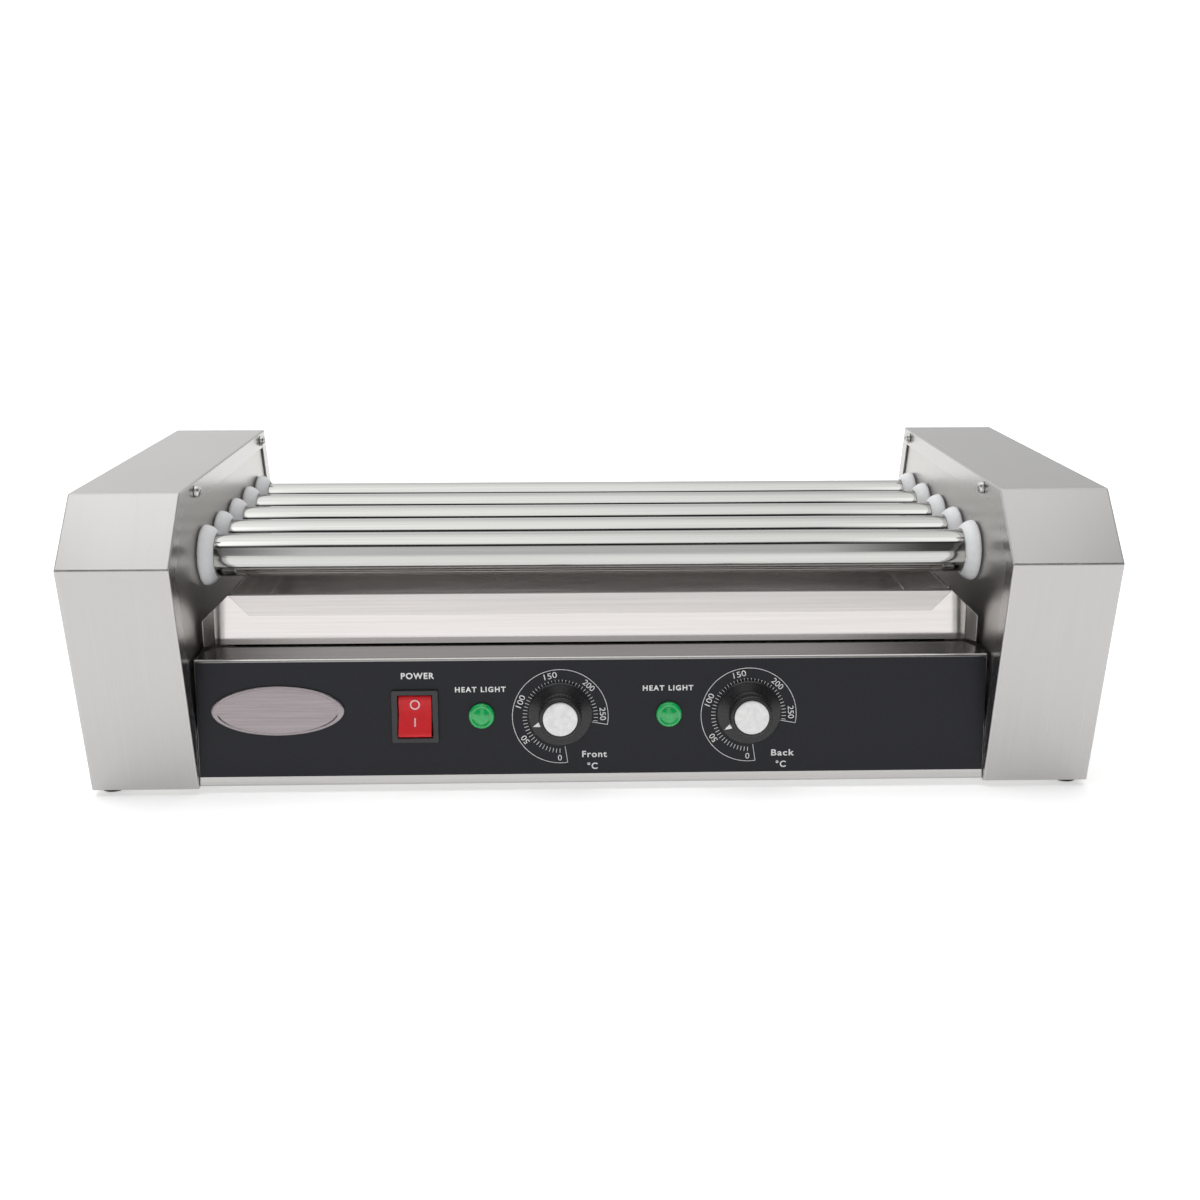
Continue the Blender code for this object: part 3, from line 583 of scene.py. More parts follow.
def print_text(words, x, up, width, height, turn=0.0, bold=0.02, gap=1.0):
    """Words as thin raised ink, fitted to a width and a height about their place on the panel."""
    deselect_all()
    bpy.ops.object.text_add()
    text = bpy.context.object
    text.data.body = words
    text.data.space_character = gap
    text.data.extrude = INK / 2
    text.data.offset = bold
    bpy.ops.object.convert(target="MESH")
    text = bpy.context.object
    corners = [Vector(corner) for corner in text.bound_box]
    low = Vector(min(corner[axis] for corner in corners) for axis in range(3))
    high = Vector(max(corner[axis] for corner in corners) for axis in range(3))
    fit = Matrix.Diagonal((width / (high.x - low.x), height / (high.y - low.y), 1, 1))
    centre = Matrix.Translation(-(low + high) / 2)
    place = on_panel(x, up, OVERLAY_FACE) @ Matrix.Rotation(turn, 4, "Z")
    prints.append(set_in(text, place @ fit @ centre))


def print_bar(x, up, length, width, turn):
    """A straight printed line, centred on its place and turned about it."""
    deselect_all()
    bpy.ops.mesh.primitive_cube_add(size=1, scale=(length, width, INK))
    bar = name_piece("tick")
    prints.append(set_in(bar, on_panel(x, up, OVERLAY_FACE) @ Matrix.Rotation(turn, 4, "Z")))


def print_arc(x, up, radius, start, end, width):
    """A printed arc about a knob, made by spinning a line's cross-section."""
    deselect_all()
    bpy.ops.mesh.primitive_plane_add(size=1, rotation=(math.pi / 2, 0, 0))
    arc = name_piece("arc")
    for point in arc.data.vertices:
        point.co = Vector((radius + point.co.x * width, 0, point.co.z * INK))
    pick(arc, "FACE", lambda centre, normal: True)
    bpy.ops.mesh.spin(steps=72, angle=end - start, center=(0, 0, 0), axis=(0, 0, 1))
    bpy.ops.mesh.select_all(action="SELECT")
    bpy.ops.mesh.normals_make_consistent(inside=False)
    bpy.ops.object.mode_set(mode="OBJECT")
    prints.append(set_in(arc, on_panel(x, up, OVERLAY_FACE) @ Matrix.Rotation(end, 4, "Z")))


for name in ("front", "back"):
    x = panel_spot(f"{name}_heat_knob")[0]
    print_arc(x, DIAL_DROP, DIAL_ARC, math.radians(DIAL_END), math.radians(DIAL_START), 0.00032)
    for edge in (DIAL_START, DIAL_END):
        angle = math.radians(edge)
        middle = (DIAL_ARC + 0.018) / 2
        spot = (x + middle * math.cos(angle), DIAL_DROP + middle * math.sin(angle))
        print_bar(*spot, DIAL_ARC - 0.018, 0.00032, angle)
    for value in range(0, DIAL_TOP + DIAL_STEP, DIAL_STEP):
        angle = math.radians(DIAL_ZERO - DIAL_TURN * value / DIAL_TOP)
        spot = (x + TICK_RING * math.cos(angle), DIAL_DROP + TICK_RING * math.sin(angle))
        print_bar(*spot, 0.0026, 0.0003, angle)
        if value % 50 == 0:
            lean = angle + (math.radians(10.7) if value == DIAL_TOP else 0)
            spot = (x + NUMBER_RING * math.cos(lean), DIAL_DROP + NUMBER_RING * math.sin(lean))
            digits = str(value)
            print_text(digits, *spot, 0.0026 * len(digits) - 0.0003, 0.0034, lean - math.pi / 2, 0.0)
    for words, shift, up, width, height in DIAL_WORDS[name]:
        print_text(words, x + shift, up, width, height, gap=1.15)
    lamp_x = panel_spot(f"{name}_heat_lamp")[0]
    print_text("HEAT LIGHT", lamp_x - 0.0005, 0.0146, 0.0292, 0.0032, bold=0.03, gap=1.25)
print_text("POWER", panel_spot("switch_housing")[0] + 0.0018, 0.0229, 0.0190, 0.0037, bold=0.03, gap=1.2)
deselect_all()
for printed in prints:
    printed.select_set(True)
bpy.context.view_layer.objects.active = prints[0]
bpy.ops.object.join()
panel_print = name_piece("panel_print")
panel_print.data.materials.clear()
panel_print.data.materials.append(ink)
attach(panel_print, "chassis")


# ---- Oval plate ----
# A blank stamped nickel oval with a raised border, stuck to the overlay.
nickel, nickel_shader = new_skin("brushed_nickel", (0.32, 0.285, 0.295), 1.0, 0.3)
nickel_lines = grain(nickel, (20, 1800, 1800), detail=3.0)
tint(nickel, nickel_lines, (0.25, 0.22, 0.23), (0.35, 0.315, 0.325), nickel_shader.inputs["Base Color"])
spread(nickel, nickel_lines, 0.24, 0.38, nickel_shader.inputs["Roughness"])
relief(nickel, nickel_lines, 0.2, 0.00002, nickel_shader.inputs["Normal"])
near, far = panel_box("badge")
half = (far.y - near.y) / 2
PLATE_BORDER = 0.0011
profile = [
    (half, 0.0), (half, 0.0009), (half - 0.0004, 0.0013), (half - PLATE_BORDER, 0.0013),
    (half - PLATE_BORDER - 0.0003, 0.0009), (half * 0.5, 0.0010),
]
plate_spot = on_panel(*panel_spot("badge"), near.z)
oval = Matrix.Diagonal(((far.x - near.x) / (far.y - near.y), 1, 1, 1))
plate = turned_piece("oval_plate", profile, plate_spot @ oval, sides=96)
ease_edges(plate, 0.00012)
plate.data.materials.append(nickel)
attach(plate, "chassis")
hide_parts("badge")


# ---- Power switch frame ----
# Moulded black nylon, snapped into the panel from the front: a flat frame with eased edges
# round a deep pocket, and a body that reaches behind the panel.
def moulded_skin(name, dark, light, rough=(0.34, 0.48), size=1400):
    skin, shader = new_skin(name, light, 0.0, rough[0], Specular_IOR_Level=0.45)
    texture = grain(skin, (size, size, size), detail=4.0)
    tint(skin, texture, dark, light, shader.inputs["Base Color"])
    spread(skin, texture, *rough, shader.inputs["Roughness"])
    relief(skin, texture, 0.2, 0.00003, shader.inputs["Normal"])
    return skin


black_nylon = moulded_skin("black_nylon", (0.022, 0.022, 0.024), (0.036, 0.036, 0.039))
near, far = panel_box("switch_housing")
switch_middle = Vector((*panel_spot("switch_housing"), 0))
FRAME_THICK = 0.0018
POCKET_DEPTH = 0.0100
switch_spot = on_panel(*panel_spot("switch_housing"))
near, far = near - switch_middle, far - switch_middle
deselect_all()
bpy.ops.mesh.primitive_cube_add(
    size=1, location=(0, 0, far.z - FRAME_THICK / 2), scale=(far.x - near.x, far.y - near.y, FRAME_THICK),
)
switch_frame = name_piece("switch_frame")
pick(switch_frame, "FACE", lambda centre, normal: normal.z > 0.9)
bpy.ops.mesh.inset(thickness=0.0024)
bpy.ops.transform.resize(value=(0.945, 1, 1))
bpy.ops.mesh.inset(thickness=0.0004)
bpy.ops.transform.translate(value=(0, 0, -0.0004))
bpy.ops.mesh.extrude_region_move(TRANSFORM_OT_translate={"value": (0, 0, -POCKET_DEPTH)})
pick(switch_frame, "FACE", lambda centre, normal: normal.z < -0.9)
bpy.ops.mesh.inset(thickness=0.0023)
bpy.ops.mesh.extrude_region_move(TRANSFORM_OT_translate={"value": (0, 0, near.z - far.z + FRAME_THICK)})
corner_x, corner_y = far.x - 0.0002, far.y - 0.0002
pick(
    switch_frame, "EDGE",
    lambda centre, run: abs(run.z) > 0.001 and abs(centre.x) > corner_x and abs(centre.y) > corner_y,
)
bpy.ops.mesh.bevel(offset=0.0010, segments=4)
bpy.ops.object.mode_set(mode="OBJECT")
ease_edges(switch_frame, 0.0003, segments=3)
set_in(switch_frame, switch_spot)
switch_frame.data.materials.append(black_nylon)
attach(switch_frame, "chassis")
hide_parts("switch_housing")


# ---- Rocker ----
# A glossy red moulded key on a cross pin in the switch. Its face is a shallow V, and its two
# ends are rounded over. At rest the upper half, marked with a ring, is pressed in.
rocker_red, rocker_shader = new_skin(
    "rocker_red", (0.78, 0.004, 0.012), 0.0, 0.16, Specular_IOR_Level=0.3,
    Subsurface_Weight=0.15, Subsurface_Scale=0.002, Coat_Weight=0.1, Coat_Roughness=0.06,
)
rocker_mottle = grain(rocker_red, (300, 300, 300), detail=4.0)
tint(
    rocker_red, rocker_mottle, (0.58, 0.003, 0.008), (0.68, 0.004, 0.011),
    rocker_shader.inputs["Base Color"],
)
spread(rocker_red, rocker_mottle, 0.13, 0.22, rocker_shader.inputs["Roughness"])
mark_ink = moulded_skin("rocker_mark_ink", (0.78, 0.52, 0.55), (0.88, 0.64, 0.66), size=900)
KEY_TILT = math.radians(10)
KEY_REACH = 0.01215
KEY_VALLEY = 0.0010
KEY_WIDTH = 0.0190
brow = KEY_VALLEY + KEY_REACH * math.tan(KEY_TILT)
start = math.asin(brow / KEY_REACH)
turns = [start + (-0.3 - start) * step / 6 for step in range(7)]
right_half = [(KEY_REACH * math.cos(turn), KEY_REACH * math.sin(turn)) for turn in turns]
left_half = [(-across, up) for across, up in reversed(right_half)]
outline = [(0, KEY_VALLEY), *right_half, (0.006, -0.007), (-0.006, -0.007), *left_half]
deselect_all()
bpy.ops.mesh.primitive_circle_add(vertices=len(outline), fill_type="NGON")
key = name_piece("rocker_key")
for point, (across, up) in zip(key.data.vertices, outline):
    point.co = (-KEY_WIDTH / 2, across, up)
pick(key, "FACE", lambda centre, normal: True)
bpy.ops.mesh.extrude_region_move(TRANSFORM_OT_translate={"value": (KEY_WIDTH, 0, 0)})
bpy.ops.mesh.select_all(action="SELECT")
bpy.ops.mesh.normals_make_consistent(inside=False)
pick(key, "EDGE", lambda centre, run: abs(run.x) > 0.01 and centre.z > brow - 0.0003)
bpy.ops.mesh.bevel(offset=0.0030, segments=6)
bpy.ops.object.mode_set(mode="OBJECT")
ease_edges(key, 0.0005, segments=3, angle=40)
key_turn = panel_turn @ Matrix.Rotation(-KEY_TILT, 4, "X")
key_spot = Matrix.Translation(joints["rocker_press"]["pos_m"]) @ key_turn
set_in(key, key_spot)
key.data.materials.append(rocker_red)
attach(key, "rocker")
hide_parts("power_rocker")


def on_key(across):
    """A place on the rocker's V face, a distance above or below its middle line."""
    lean = math.copysign(KEY_TILT, across)
    rise = KEY_VALLEY + abs(across) * math.tan(KEY_TILT)
    return key_spot @ Matrix.Translation((0, across, rise)) @ Matrix.Rotation(lean, 4, "X")


MARK = 0.00008
profile = [(0.0029, 0), (0.0029, MARK), (0.0021, MARK), (0.0021, -MARK), (0.0029, -MARK), (0.0029, 0)]
off_mark = turned_piece("rocker_off_mark", profile, on_key(0.0066), sides=48, ring=True)
deselect_all()
bpy.ops.mesh.primitive_cube_add(size=1, scale=(0.0008, 0.0050, 2 * MARK))
on_mark = set_in(name_piece("rocker_on_mark"), on_key(-0.0036))
for mark in (off_mark, on_mark):
    ease_edges(mark, 0.00004)
    mark.data.materials.append(mark_ink)
    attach(mark, "rocker")


# ---- Heat lamps ----
# Green lenses moulded with a rounded rim and a shallow step round a slightly domed middle,
# pressed through the panel onto neon lamps.
lens, lens_shader = new_skin(
    "green_lens", (0.004, 0.36, 0.085), 0.0, 0.12,
    Subsurface_Weight=0.3, Subsurface_Scale=0.003, Coat_Weight=0.6, Coat_Roughness=0.05,
)
lens_shader.inputs["Emission Color"].default_value = (0.0, 0.30, 0.07, 1.0)
lens_shader.inputs["Emission Strength"].default_value = 0.12
lens_mottle = grain(lens, (260, 260, 260), detail=3.0)
tint(lens, lens_mottle, (0.003, 0.32, 0.075), (0.006, 0.42, 0.10), lens_shader.inputs["Base Color"])
spread(lens, lens_mottle, 0.10, 0.18, lens_shader.inputs["Roughness"])
for name in ("front", "back"):
    node = f"{name}_heat_lamp"
    near, far = panel_box(node)
    rim = (far.x - near.x) / 2
    foot = far.z - 0.0040
    profile = [
        (0.0047, near.z), (0.0047, foot), (rim - 0.0003, foot), (rim, foot + 0.0006), (rim, foot + 0.0014),
        (rim - 0.0003, foot + 0.0022), (rim - 0.0009, foot + 0.0027), (rim - 0.0016, foot + 0.0028),
        (rim - 0.0022, foot + 0.0024), (rim - 0.0027, foot + 0.0023), (rim - 0.0032, foot + 0.0027),
        (rim - 0.0045, foot + 0.0032), (rim - 0.0060, foot + 0.0035), (0.0002, foot + 0.0036),
    ]
    lamp = turned_piece(f"{node}_lens", profile, on_panel(*panel_spot(node)), sides=72)
    ease_edges(lamp, 0.0001, angle=45)
    lamp.data.materials.append(lens)
    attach(lamp, "chassis")
    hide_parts(node)


# ---- Knobs ----
# Black phenolic knobs on the thermostats' shafts. A coned skirt carries a white pointer, and
# the body above it is fluted for grip.
phenolic = moulded_skin("black_phenolic", (0.010, 0.010, 0.011), (0.020, 0.020, 0.022), (0.22, 0.34))
pointer_ink = moulded_skin("pointer_ink", (0.74, 0.73, 0.72), (0.88, 0.87, 0.86), size=900)
POINTER_ANGLES = {"front": 204.0, "back": 214.5}
FLUTE_SHARE = 0.962
for name, pointer_angle in POINTER_ANGLES.items():
    node = f"{name}_heat_knob"
    near, far = panel_box(node)
    skirt, foot, top = (far.x - near.x) / 2, near.z, far.z
    grip = 0.0123
    well = 0.0103
    profile = [
        (0.0033, 0.0105), (0.0033, foot), (skirt - 0.0002, foot), (skirt, foot + 0.0003),
        (skirt, foot + 0.0013), (skirt - 0.0005, foot + 0.0020), (skirt - 0.0014, foot + 0.0025),
        (grip + 0.0016, foot + 0.0038), (grip + 0.0006, foot + 0.0042), (grip, foot + 0.0050),
        (grip - 0.0001, top - 0.0016), (grip - 0.0003, top - 0.0008), (grip - 0.0008, top - 0.0002),
        (grip - 0.0014, top), (well, top), (well, top - 0.0007), (0.0002, top - 0.0007),
    ]
    knob_spot = on_panel(*panel_spot(node))
    knob = turned_piece(f"{node}_body", profile, Matrix.Identity(4), sides=120)
    flute_low, flute_high = foot + 0.0045, top - 0.0012
    pick(
        knob, "VERT",
        lambda spot, normal: flute_low < spot.z < flute_high and abs(spot.xy.length - grip) < 0.0003
        and round(math.degrees(math.atan2(spot.y, spot.x)) / 3) % 3 == 0,
    )
    bpy.ops.transform.resize(value=(FLUTE_SHARE, FLUTE_SHARE, 1), center_override=(0, 0, 0))
    bpy.ops.object.mode_set(mode="OBJECT")
    ease_edges(knob, 0.00015, angle=50)
    set_in(knob, knob_spot)
    knob.data.materials.append(phenolic)
    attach(knob, f"{name}_knob")
    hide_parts(node)

    slant = math.atan2(0.0013, skirt - 0.0030 - grip)
    deselect_all()
    bpy.ops.mesh.primitive_cylinder_add(vertices=3, radius=0.0024, depth=0.0003)
    pointer = name_piece(f"{node}_pointer")
    facing = Matrix.Rotation(math.radians(pointer_angle), 4, "Z")
    slope_place = Matrix.Translation((0.01447, 0, foot + 0.00362)) @ Matrix.Rotation(slant, 4, "Y")
    shape = Matrix.Diagonal((1.305, 0.722, 1, 1)) @ Matrix.Rotation(math.radians(-90), 4, "Z")
    set_in(pointer, knob_spot @ facing @ slope_place @ shape)
    ease_edges(pointer, 0.00005)
    pointer.data.materials.append(pointer_ink)
    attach(pointer, f"{name}_knob")


# ---- Knob caps ----
# Aluminium discs turned in a lathe, so light fans out across fine rings. Each is pressed
# into the top of its knob.
spun, spun_shader = new_skin("spun_aluminium", (0.52, 0.52, 0.52), 1.0, 0.30, Anisotropic=0.9)
turned_way = add_node(spun, "Tangent", direction_type="UV_MAP")
spun.node_tree.links.new(turned_way.outputs["Tangent"], spun_shader.inputs["Tangent"])
spun_cloud = grain(spun, (350, 350, 350), detail=3.0)
tint(spun, spun_cloud, (0.50, 0.50, 0.50), (0.62, 0.62, 0.62), spun_shader.inputs["Base Color"])
spread(spun, spun_cloud, 0.28, 0.34, spun_shader.inputs["Roughness"])


def unroll(piece, centre):
    """A UV map that runs round the piece's axis along U and outwards along V."""
    back = centre.inverted()
    layer = piece.data.uv_layers.new(name="turn")
    for face in piece.data.polygons:
        spots = [back @ piece.data.vertices[index].co for index in face.vertices]
        turns = [math.atan2(spot.y, spot.x) / math.tau for spot in spots]
        for loop, spot, turn in zip(face.loop_indices, spots, turns):
            turn += round(turns[0] - turn)
            layer.data[loop].uv = (turn, spot.xy.length * 40)


for name in POINTER_ANGLES:
    node = f"{name}_knob_cap"
    near, far = panel_box(node)
    radius, floor, top = (far.x - near.x) / 2, near.z, far.z
    steps = [radius - 0.0007 - (radius - 0.0009) * share for share in (0, 0.25, 0.5, 0.75, 0.97)]
    profile = [
        (radius - 0.0002, floor), (radius, floor + 0.0002), (radius, top - 0.0006),
        (radius - 0.0002, top - 0.0002), *[(ring, top) for ring in steps],
    ]
    cap = turned_piece(f"{node}_disc", profile, on_panel(*panel_spot(node)), sides=96)
    unroll(cap, on_panel(*panel_spot(node)))
    smooth_over(cap)
    cap.data.materials.append(spun)
    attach(cap, f"{name}_knob")
    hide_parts(node)


# ---- Drip tray pan ----
# Bright stainless sheet folded into a shallow pan, its side and back edges rolled over into
# flat hems. It slides forward over the deck.
tray_low, tray_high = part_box("drip_tray")
TRAY_SHEET = 0.0008
PAN_HALF = 0.213
PAN_START = tray_low.y + 0.0034
PAN_BEND = 0.0020
PAN_BACK_GAP = 0.0004
HEM_STAND = 0.0002
HEM_DROP = 0.0095
HEM_THICK = 0.0022
HEM_PROUD = 0.0007
TRAY_DARK = (0.58, 0.55, 0.535)
TRAY_LIGHT = (0.64, 0.61, 0.60)


def tray_skin(name, rough, wave=0.0006):
    skin, shader = new_skin(name, TRAY_LIGHT, 1.0, rough[0])
    lines = grain(skin, (8, 600, 600), detail=3.0)
    waves = grain(skin, (7, 30, 30), detail=2.0)
    tint(skin, lines, TRAY_DARK, TRAY_LIGHT, shader.inputs["Base Color"])
    spread(skin, waves, *rough, shader.inputs["Roughness"])
    relief(skin, waves, 0.25, wave, shader.inputs["Normal"])
    return skin


tray_bright = tray_skin("tray_bright", (0.07, 0.12), 0.00005)
tray_fold_steel = tray_skin("tray_fold_steel", (0.10, 0.18), 0.0001)
tray_inside = tray_skin("tray_inside", (0.18, 0.26))


def sheet_box(name, corner_low, corner_high):
    """A block given by its two corners, ready to be shaped."""
    deselect_all()
    centre = (Vector(corner_low) + Vector(corner_high)) / 2
    size = Vector(corner_high) - Vector(corner_low)
    bpy.ops.mesh.primitive_cube_add(size=1, location=centre, scale=size)
    return name_piece(name)


pan = sheet_box(
    "tray_pan", (-PAN_HALF, PAN_START, tray_low.z),
    (PAN_HALF, tray_high.y - PAN_BACK_GAP, tray_high.z - HEM_STAND),
)
pick(pan, "FACE", lambda centre, normal: normal.z > 0.9)
bpy.ops.mesh.delete(type="FACE")
round_folds(pan, PAN_BEND)
finish_with(pan, "SOLIDIFY", thickness=TRAY_SHEET, offset=-1)
hem_top = tray_high.z
hems = [
    sheet_box(
        "tray_hem_side",
        (sign * PAN_HALF - HEM_THICK / 2, PAN_START + 0.004, hem_top - HEM_DROP),
        (sign * PAN_HALF + HEM_THICK / 2, tray_high.y - 0.0030, hem_top),
    )
    for sign in SIDES.values()
]
for hem, sign in zip(hems, SIDES.values()):
    hem.data.transform(Matrix.Translation((-sign * HEM_PROUD, 0, 0)))
back_low = (-PAN_HALF + 0.003, tray_high.y - HEM_THICK, hem_top - HEM_DROP)
hems.append(sheet_box("tray_hem_back", back_low, (PAN_HALF - 0.003, tray_high.y, hem_top)))
for hem in hems:
    ease_edges(hem, 0.0009, segments=3)
deselect_all()
for hem in hems:
    hem.select_set(True)
pan.select_set(True)
bpy.context.view_layer.objects.active = pan
bpy.ops.object.join()
pan = smooth_over(name_piece("tray_pan"))
pan.data.materials.append(tray_inside)
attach(pan, "tray")
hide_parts("drip_tray")


# ---- Drip tray front ----
# The tray's front is a wider sheet with clipped corners that leans back a little. Its top edge
# is folded down to the front with mitred ends, and its sides are turned forward as tabs.
FACE_HALF = 0.2222
TAB_HALF = tray_high.x + 0.0012
SHOULDER = tray_low.z + 0.0159
FACE_Y = tray_low.y + 0.0006
FACE_LEAN = math.radians(-3.4)
FOLD_LEAN = math.radians(-9.0)
TAB_TURN = math.radians(-58)
SLOPE = (tray_high.z - SHOULDER) / (TAB_HALF - PAN_HALF)
FOLD_DROP = 0.0121


def front_sheet(name, corners, y, skin, lean, turn=0.0, hinge_x=0.0):
    """A flat sheet with (x, z) corners at y, leaned about its foot and turned at hinge_x."""
    deselect_all()
    bpy.ops.mesh.primitive_circle_add(vertices=len(corners), fill_type="NGON")
    sheet = name_piece(name)
    for point, (x, z) in zip(sheet.data.vertices, corners):
        point.co = (x, y, z)
    pick(sheet, "FACE", lambda centre, normal: True)
    bpy.ops.mesh.extrude_region_move(TRANSFORM_OT_translate={"value": (0, TRAY_SHEET, 0)})
    bpy.ops.mesh.select_all(action="SELECT")
    bpy.ops.mesh.normals_make_consistent(inside=False)
    bpy.ops.object.mode_set(mode="OBJECT")
    about = Matrix.Translation((hinge_x, y, tray_low.z))
    tilt = Matrix.Rotation(lean, 4, "X") @ Matrix.Rotation(turn, 4, "Z")
    set_in(sheet, about @ tilt @ about.inverted())
    ease_edges(sheet, 0.00025)
    sheet.data.materials.append(skin)
    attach(sheet, "tray")


clip = tray_high.z - (FACE_HALF - PAN_HALF) * SLOPE
face_corners = [
    (-FACE_HALF, tray_low.z), (FACE_HALF, tray_low.z), (FACE_HALF, clip),
    (PAN_HALF, tray_high.z - 0.0003), (-PAN_HALF, tray_high.z - 0.0003), (-FACE_HALF, clip),
]
front_sheet("tray_face", face_corners, FACE_Y, tray_bright, FACE_LEAN)
for side, sign in SIDES.items():
    tab_wide = (TAB_HALF - FACE_HALF) / math.cos(TAB_TURN) - TRAY_SHEET
    tab_near, tab_far = sign * (FACE_HALF + 0.0002), sign * (FACE_HALF + tab_wide)
    tab_corners = [
        (tab_near, tray_low.z + 0.0003), (tab_far, tray_low.z + 0.0003),
        (tab_far, SHOULDER), (tab_near, clip),
    ]
    front_sheet(
        f"{side}_tray_tab", tab_corners, FACE_Y, tray_inside, FACE_LEAN,
        sign * TAB_TURN, tab_near,
    )
face_top = (tray_high.z - tray_low.z) * math.tan(-FACE_LEAN)
fold_foot = FACE_Y + face_top - (tray_high.z - tray_low.z) * math.tan(-FOLD_LEAN) - 0.0009
fold_corners = [
    (-PAN_HALF, tray_high.z), (PAN_HALF, tray_high.z),
    (PAN_HALF - FOLD_DROP, tray_high.z - FOLD_DROP), (-PAN_HALF + FOLD_DROP, tray_high.z - FOLD_DROP),
]
front_sheet("tray_fold", fold_corners, fold_foot, tray_fold_steel, FOLD_LEAN)


# ---- Feet ----
# Black rubber bumpers pushed into the floor flanges, with a hollow for the screw head.
rubber = moulded_skin("black_rubber", (0.012, 0.012, 0.012), (0.028, 0.028, 0.028), (0.6, 0.8), size=500)
for side in SIDES:
    for end in ("front", "rear"):
        node = f"{side}_{end}_foot"
        near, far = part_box(node)
        radius = (far.x - near.x) / 2
        rest = near.z + 0.004
        profile = [
            (0.0025, far.z), (0.0025, rest), (radius - 0.0003, rest), (radius, rest - 0.0004),
            (radius - 0.0006, near.z + 0.0006), (radius - 0.0012, near.z), (0.0036, near.z),
            (0.0032, near.z + 0.0016), (0.0002, near.z + 0.0016),
        ]
        middle = (near + far) / 2
        foot = turned_piece(f"{node}_bumper", profile, Matrix.Translation((middle.x, middle.y, 0)), sides=40)
        ease_edges(foot, 0.0001)
        foot.data.materials.append(rubber)
        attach(foot, "chassis")
        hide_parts(node)


# ---- Bottom plate ----
# Galvanised sheet screwed under the base, with rows of slots that let the wiring bay breathe.
galvanised, galvanised_shader = new_skin("galvanised_sheet", (0.55, 0.56, 0.57), 1.0, 0.42)
spangle = add_node(galvanised, "TexVoronoi", Scale=90.0)
spangle_place = add_node(galvanised, "TexCoord")
galvanised.node_tree.links.new(spangle_place.outputs["Object"], spangle.inputs["Vector"])
tint(
    galvanised, spangle.outputs["Distance"], (0.46, 0.47, 0.48), (0.62, 0.63, 0.64),
    galvanised_shader.inputs["Base Color"],
)
spread(galvanised, spangle.outputs["Distance"], 0.34, 0.5, galvanised_shader.inputs["Roughness"])
near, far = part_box("base_bottom_plate")
bottom = sheet_box("bottom_sheet", near, far)
SLOTS = 10
for row in (-0.045, 0.045):
    for number in range(SLOTS):
        x = (number - (SLOTS - 1) / 2) * 0.036
        slot = sheet_box(
            "slot_cut", (x - 0.011, row - 0.0015, near.z - 0.002),
            (x + 0.011, row + 0.0015, far.z + 0.002),
        )
        round_folds(slot, 0.0014, segments=3)
        cut_with(bottom, slot)
bottom.data.materials.append(galvanised)
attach(bottom, "chassis")
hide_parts("base_bottom_plate")


# ---- Thermostats and heaters ----
# Zinc-plated thermostats behind the knobs. Heating rods in oxidised steel sheaths run
# through the tubes and sit in zinc-plated brackets at both ends.
carry(zinc, "front_thermostat", "back_thermostat", "left_heater_bracket", "right_heater_bracket")
sheath, sheath_shader = new_skin("heater_sheath", (0.22, 0.19, 0.17), 1.0, 0.5)
oxide = grain(sheath, (40, 160, 160), detail=5.0)
tint(sheath, oxide, (0.15, 0.12, 0.10), (0.32, 0.28, 0.25), sheath_shader.inputs["Base Color"])
spread(sheath, oxide, 0.4, 0.65, sheath_shader.inputs["Roughness"])
carry(sheath, *[f"heater_rod_{number}" for number in range(1, ROLLER_COUNT + 1)])


# ---- Chain drive ----
# Hardened sprockets on the right-hand tube ends, an endless chain round them, and a geared
# motor on its bracket that pulls the chain from below.
oiled, oiled_shader = new_skin("oiled_steel", (0.30, 0.29, 0.28), 1.0, 0.38)
oil = grain(oiled, (180, 180, 180), detail=5.0)
tint(oiled, oil, (0.16, 0.15, 0.14), (0.40, 0.39, 0.37), oiled_shader.inputs["Base Color"])
spread(oiled, oil, 0.28, 0.5, oiled_shader.inputs["Roughness"])
sprockets = [f"roller_sprocket_{number}" for number in range(1, ROLLER_COUNT + 1)]
carry(oiled, "drive_chain", "motor_sprocket", *sprockets)
carry(zinc, "drive_motor", "motor_bracket")


# ---- Cord gland ----
# A moulded nylon gland in the back wall: a hexagon to hold, a tapered nose and a clear bore
# for the cord.
near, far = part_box("cord_gland")
GLAND_BORE = 0.004
gland_axis = Vector(((near.x + far.x) / 2, 0, (near.z + far.z) / 2))
wall_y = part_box("base_housing")[1].y
gland_spot = Matrix.Translation((gland_axis.x, wall_y, gland_axis.z))
gland_spot = gland_spot @ Matrix.Rotation(math.radians(-90), 4, "X")
nose = far.y - wall_y
profile = [
    (GLAND_BORE, near.y - wall_y), (0.0058, near.y - wall_y), (0.0058, 0.0004), (0.0096, 0.0004),
    (0.0098, 0.0008), (0.0098, 0.0018), (0.0088, 0.0022), (0.0088, 0.0060), (0.0084, 0.0064),
    (0.0064, nose - 0.0008), (0.0058, nose), (GLAND_BORE + 0.0003, nose), (GLAND_BORE, nose - 0.0003),
    (GLAND_BORE, near.y - wall_y),
]
gland = turned_piece("gland_body", profile, Matrix.Identity(4), sides=48, ring=True)
pick(gland, "VERT", lambda spot, normal: 0.0021 < spot.z < 0.0061 and spot.xy.length > 0.008)
bpy.ops.object.mode_set(mode="OBJECT")
HEX_FLAT = 0.0078
for point in gland.data.vertices:
    if point.select:
        turn = math.atan2(point.co.y, point.co.x)
        off_flat = (turn + math.pi / 6) % (math.pi / 3) - math.pi / 6
        share = HEX_FLAT / math.cos(off_flat) / point.co.xy.length
        point.co.xy = point.co.xy * min(share, 1.09)
ease_edges(gland, 0.0002)
set_in(gland, gland_spot)
gland.data.materials.append(black_nylon)
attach(gland, "chassis")
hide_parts("cord_gland")


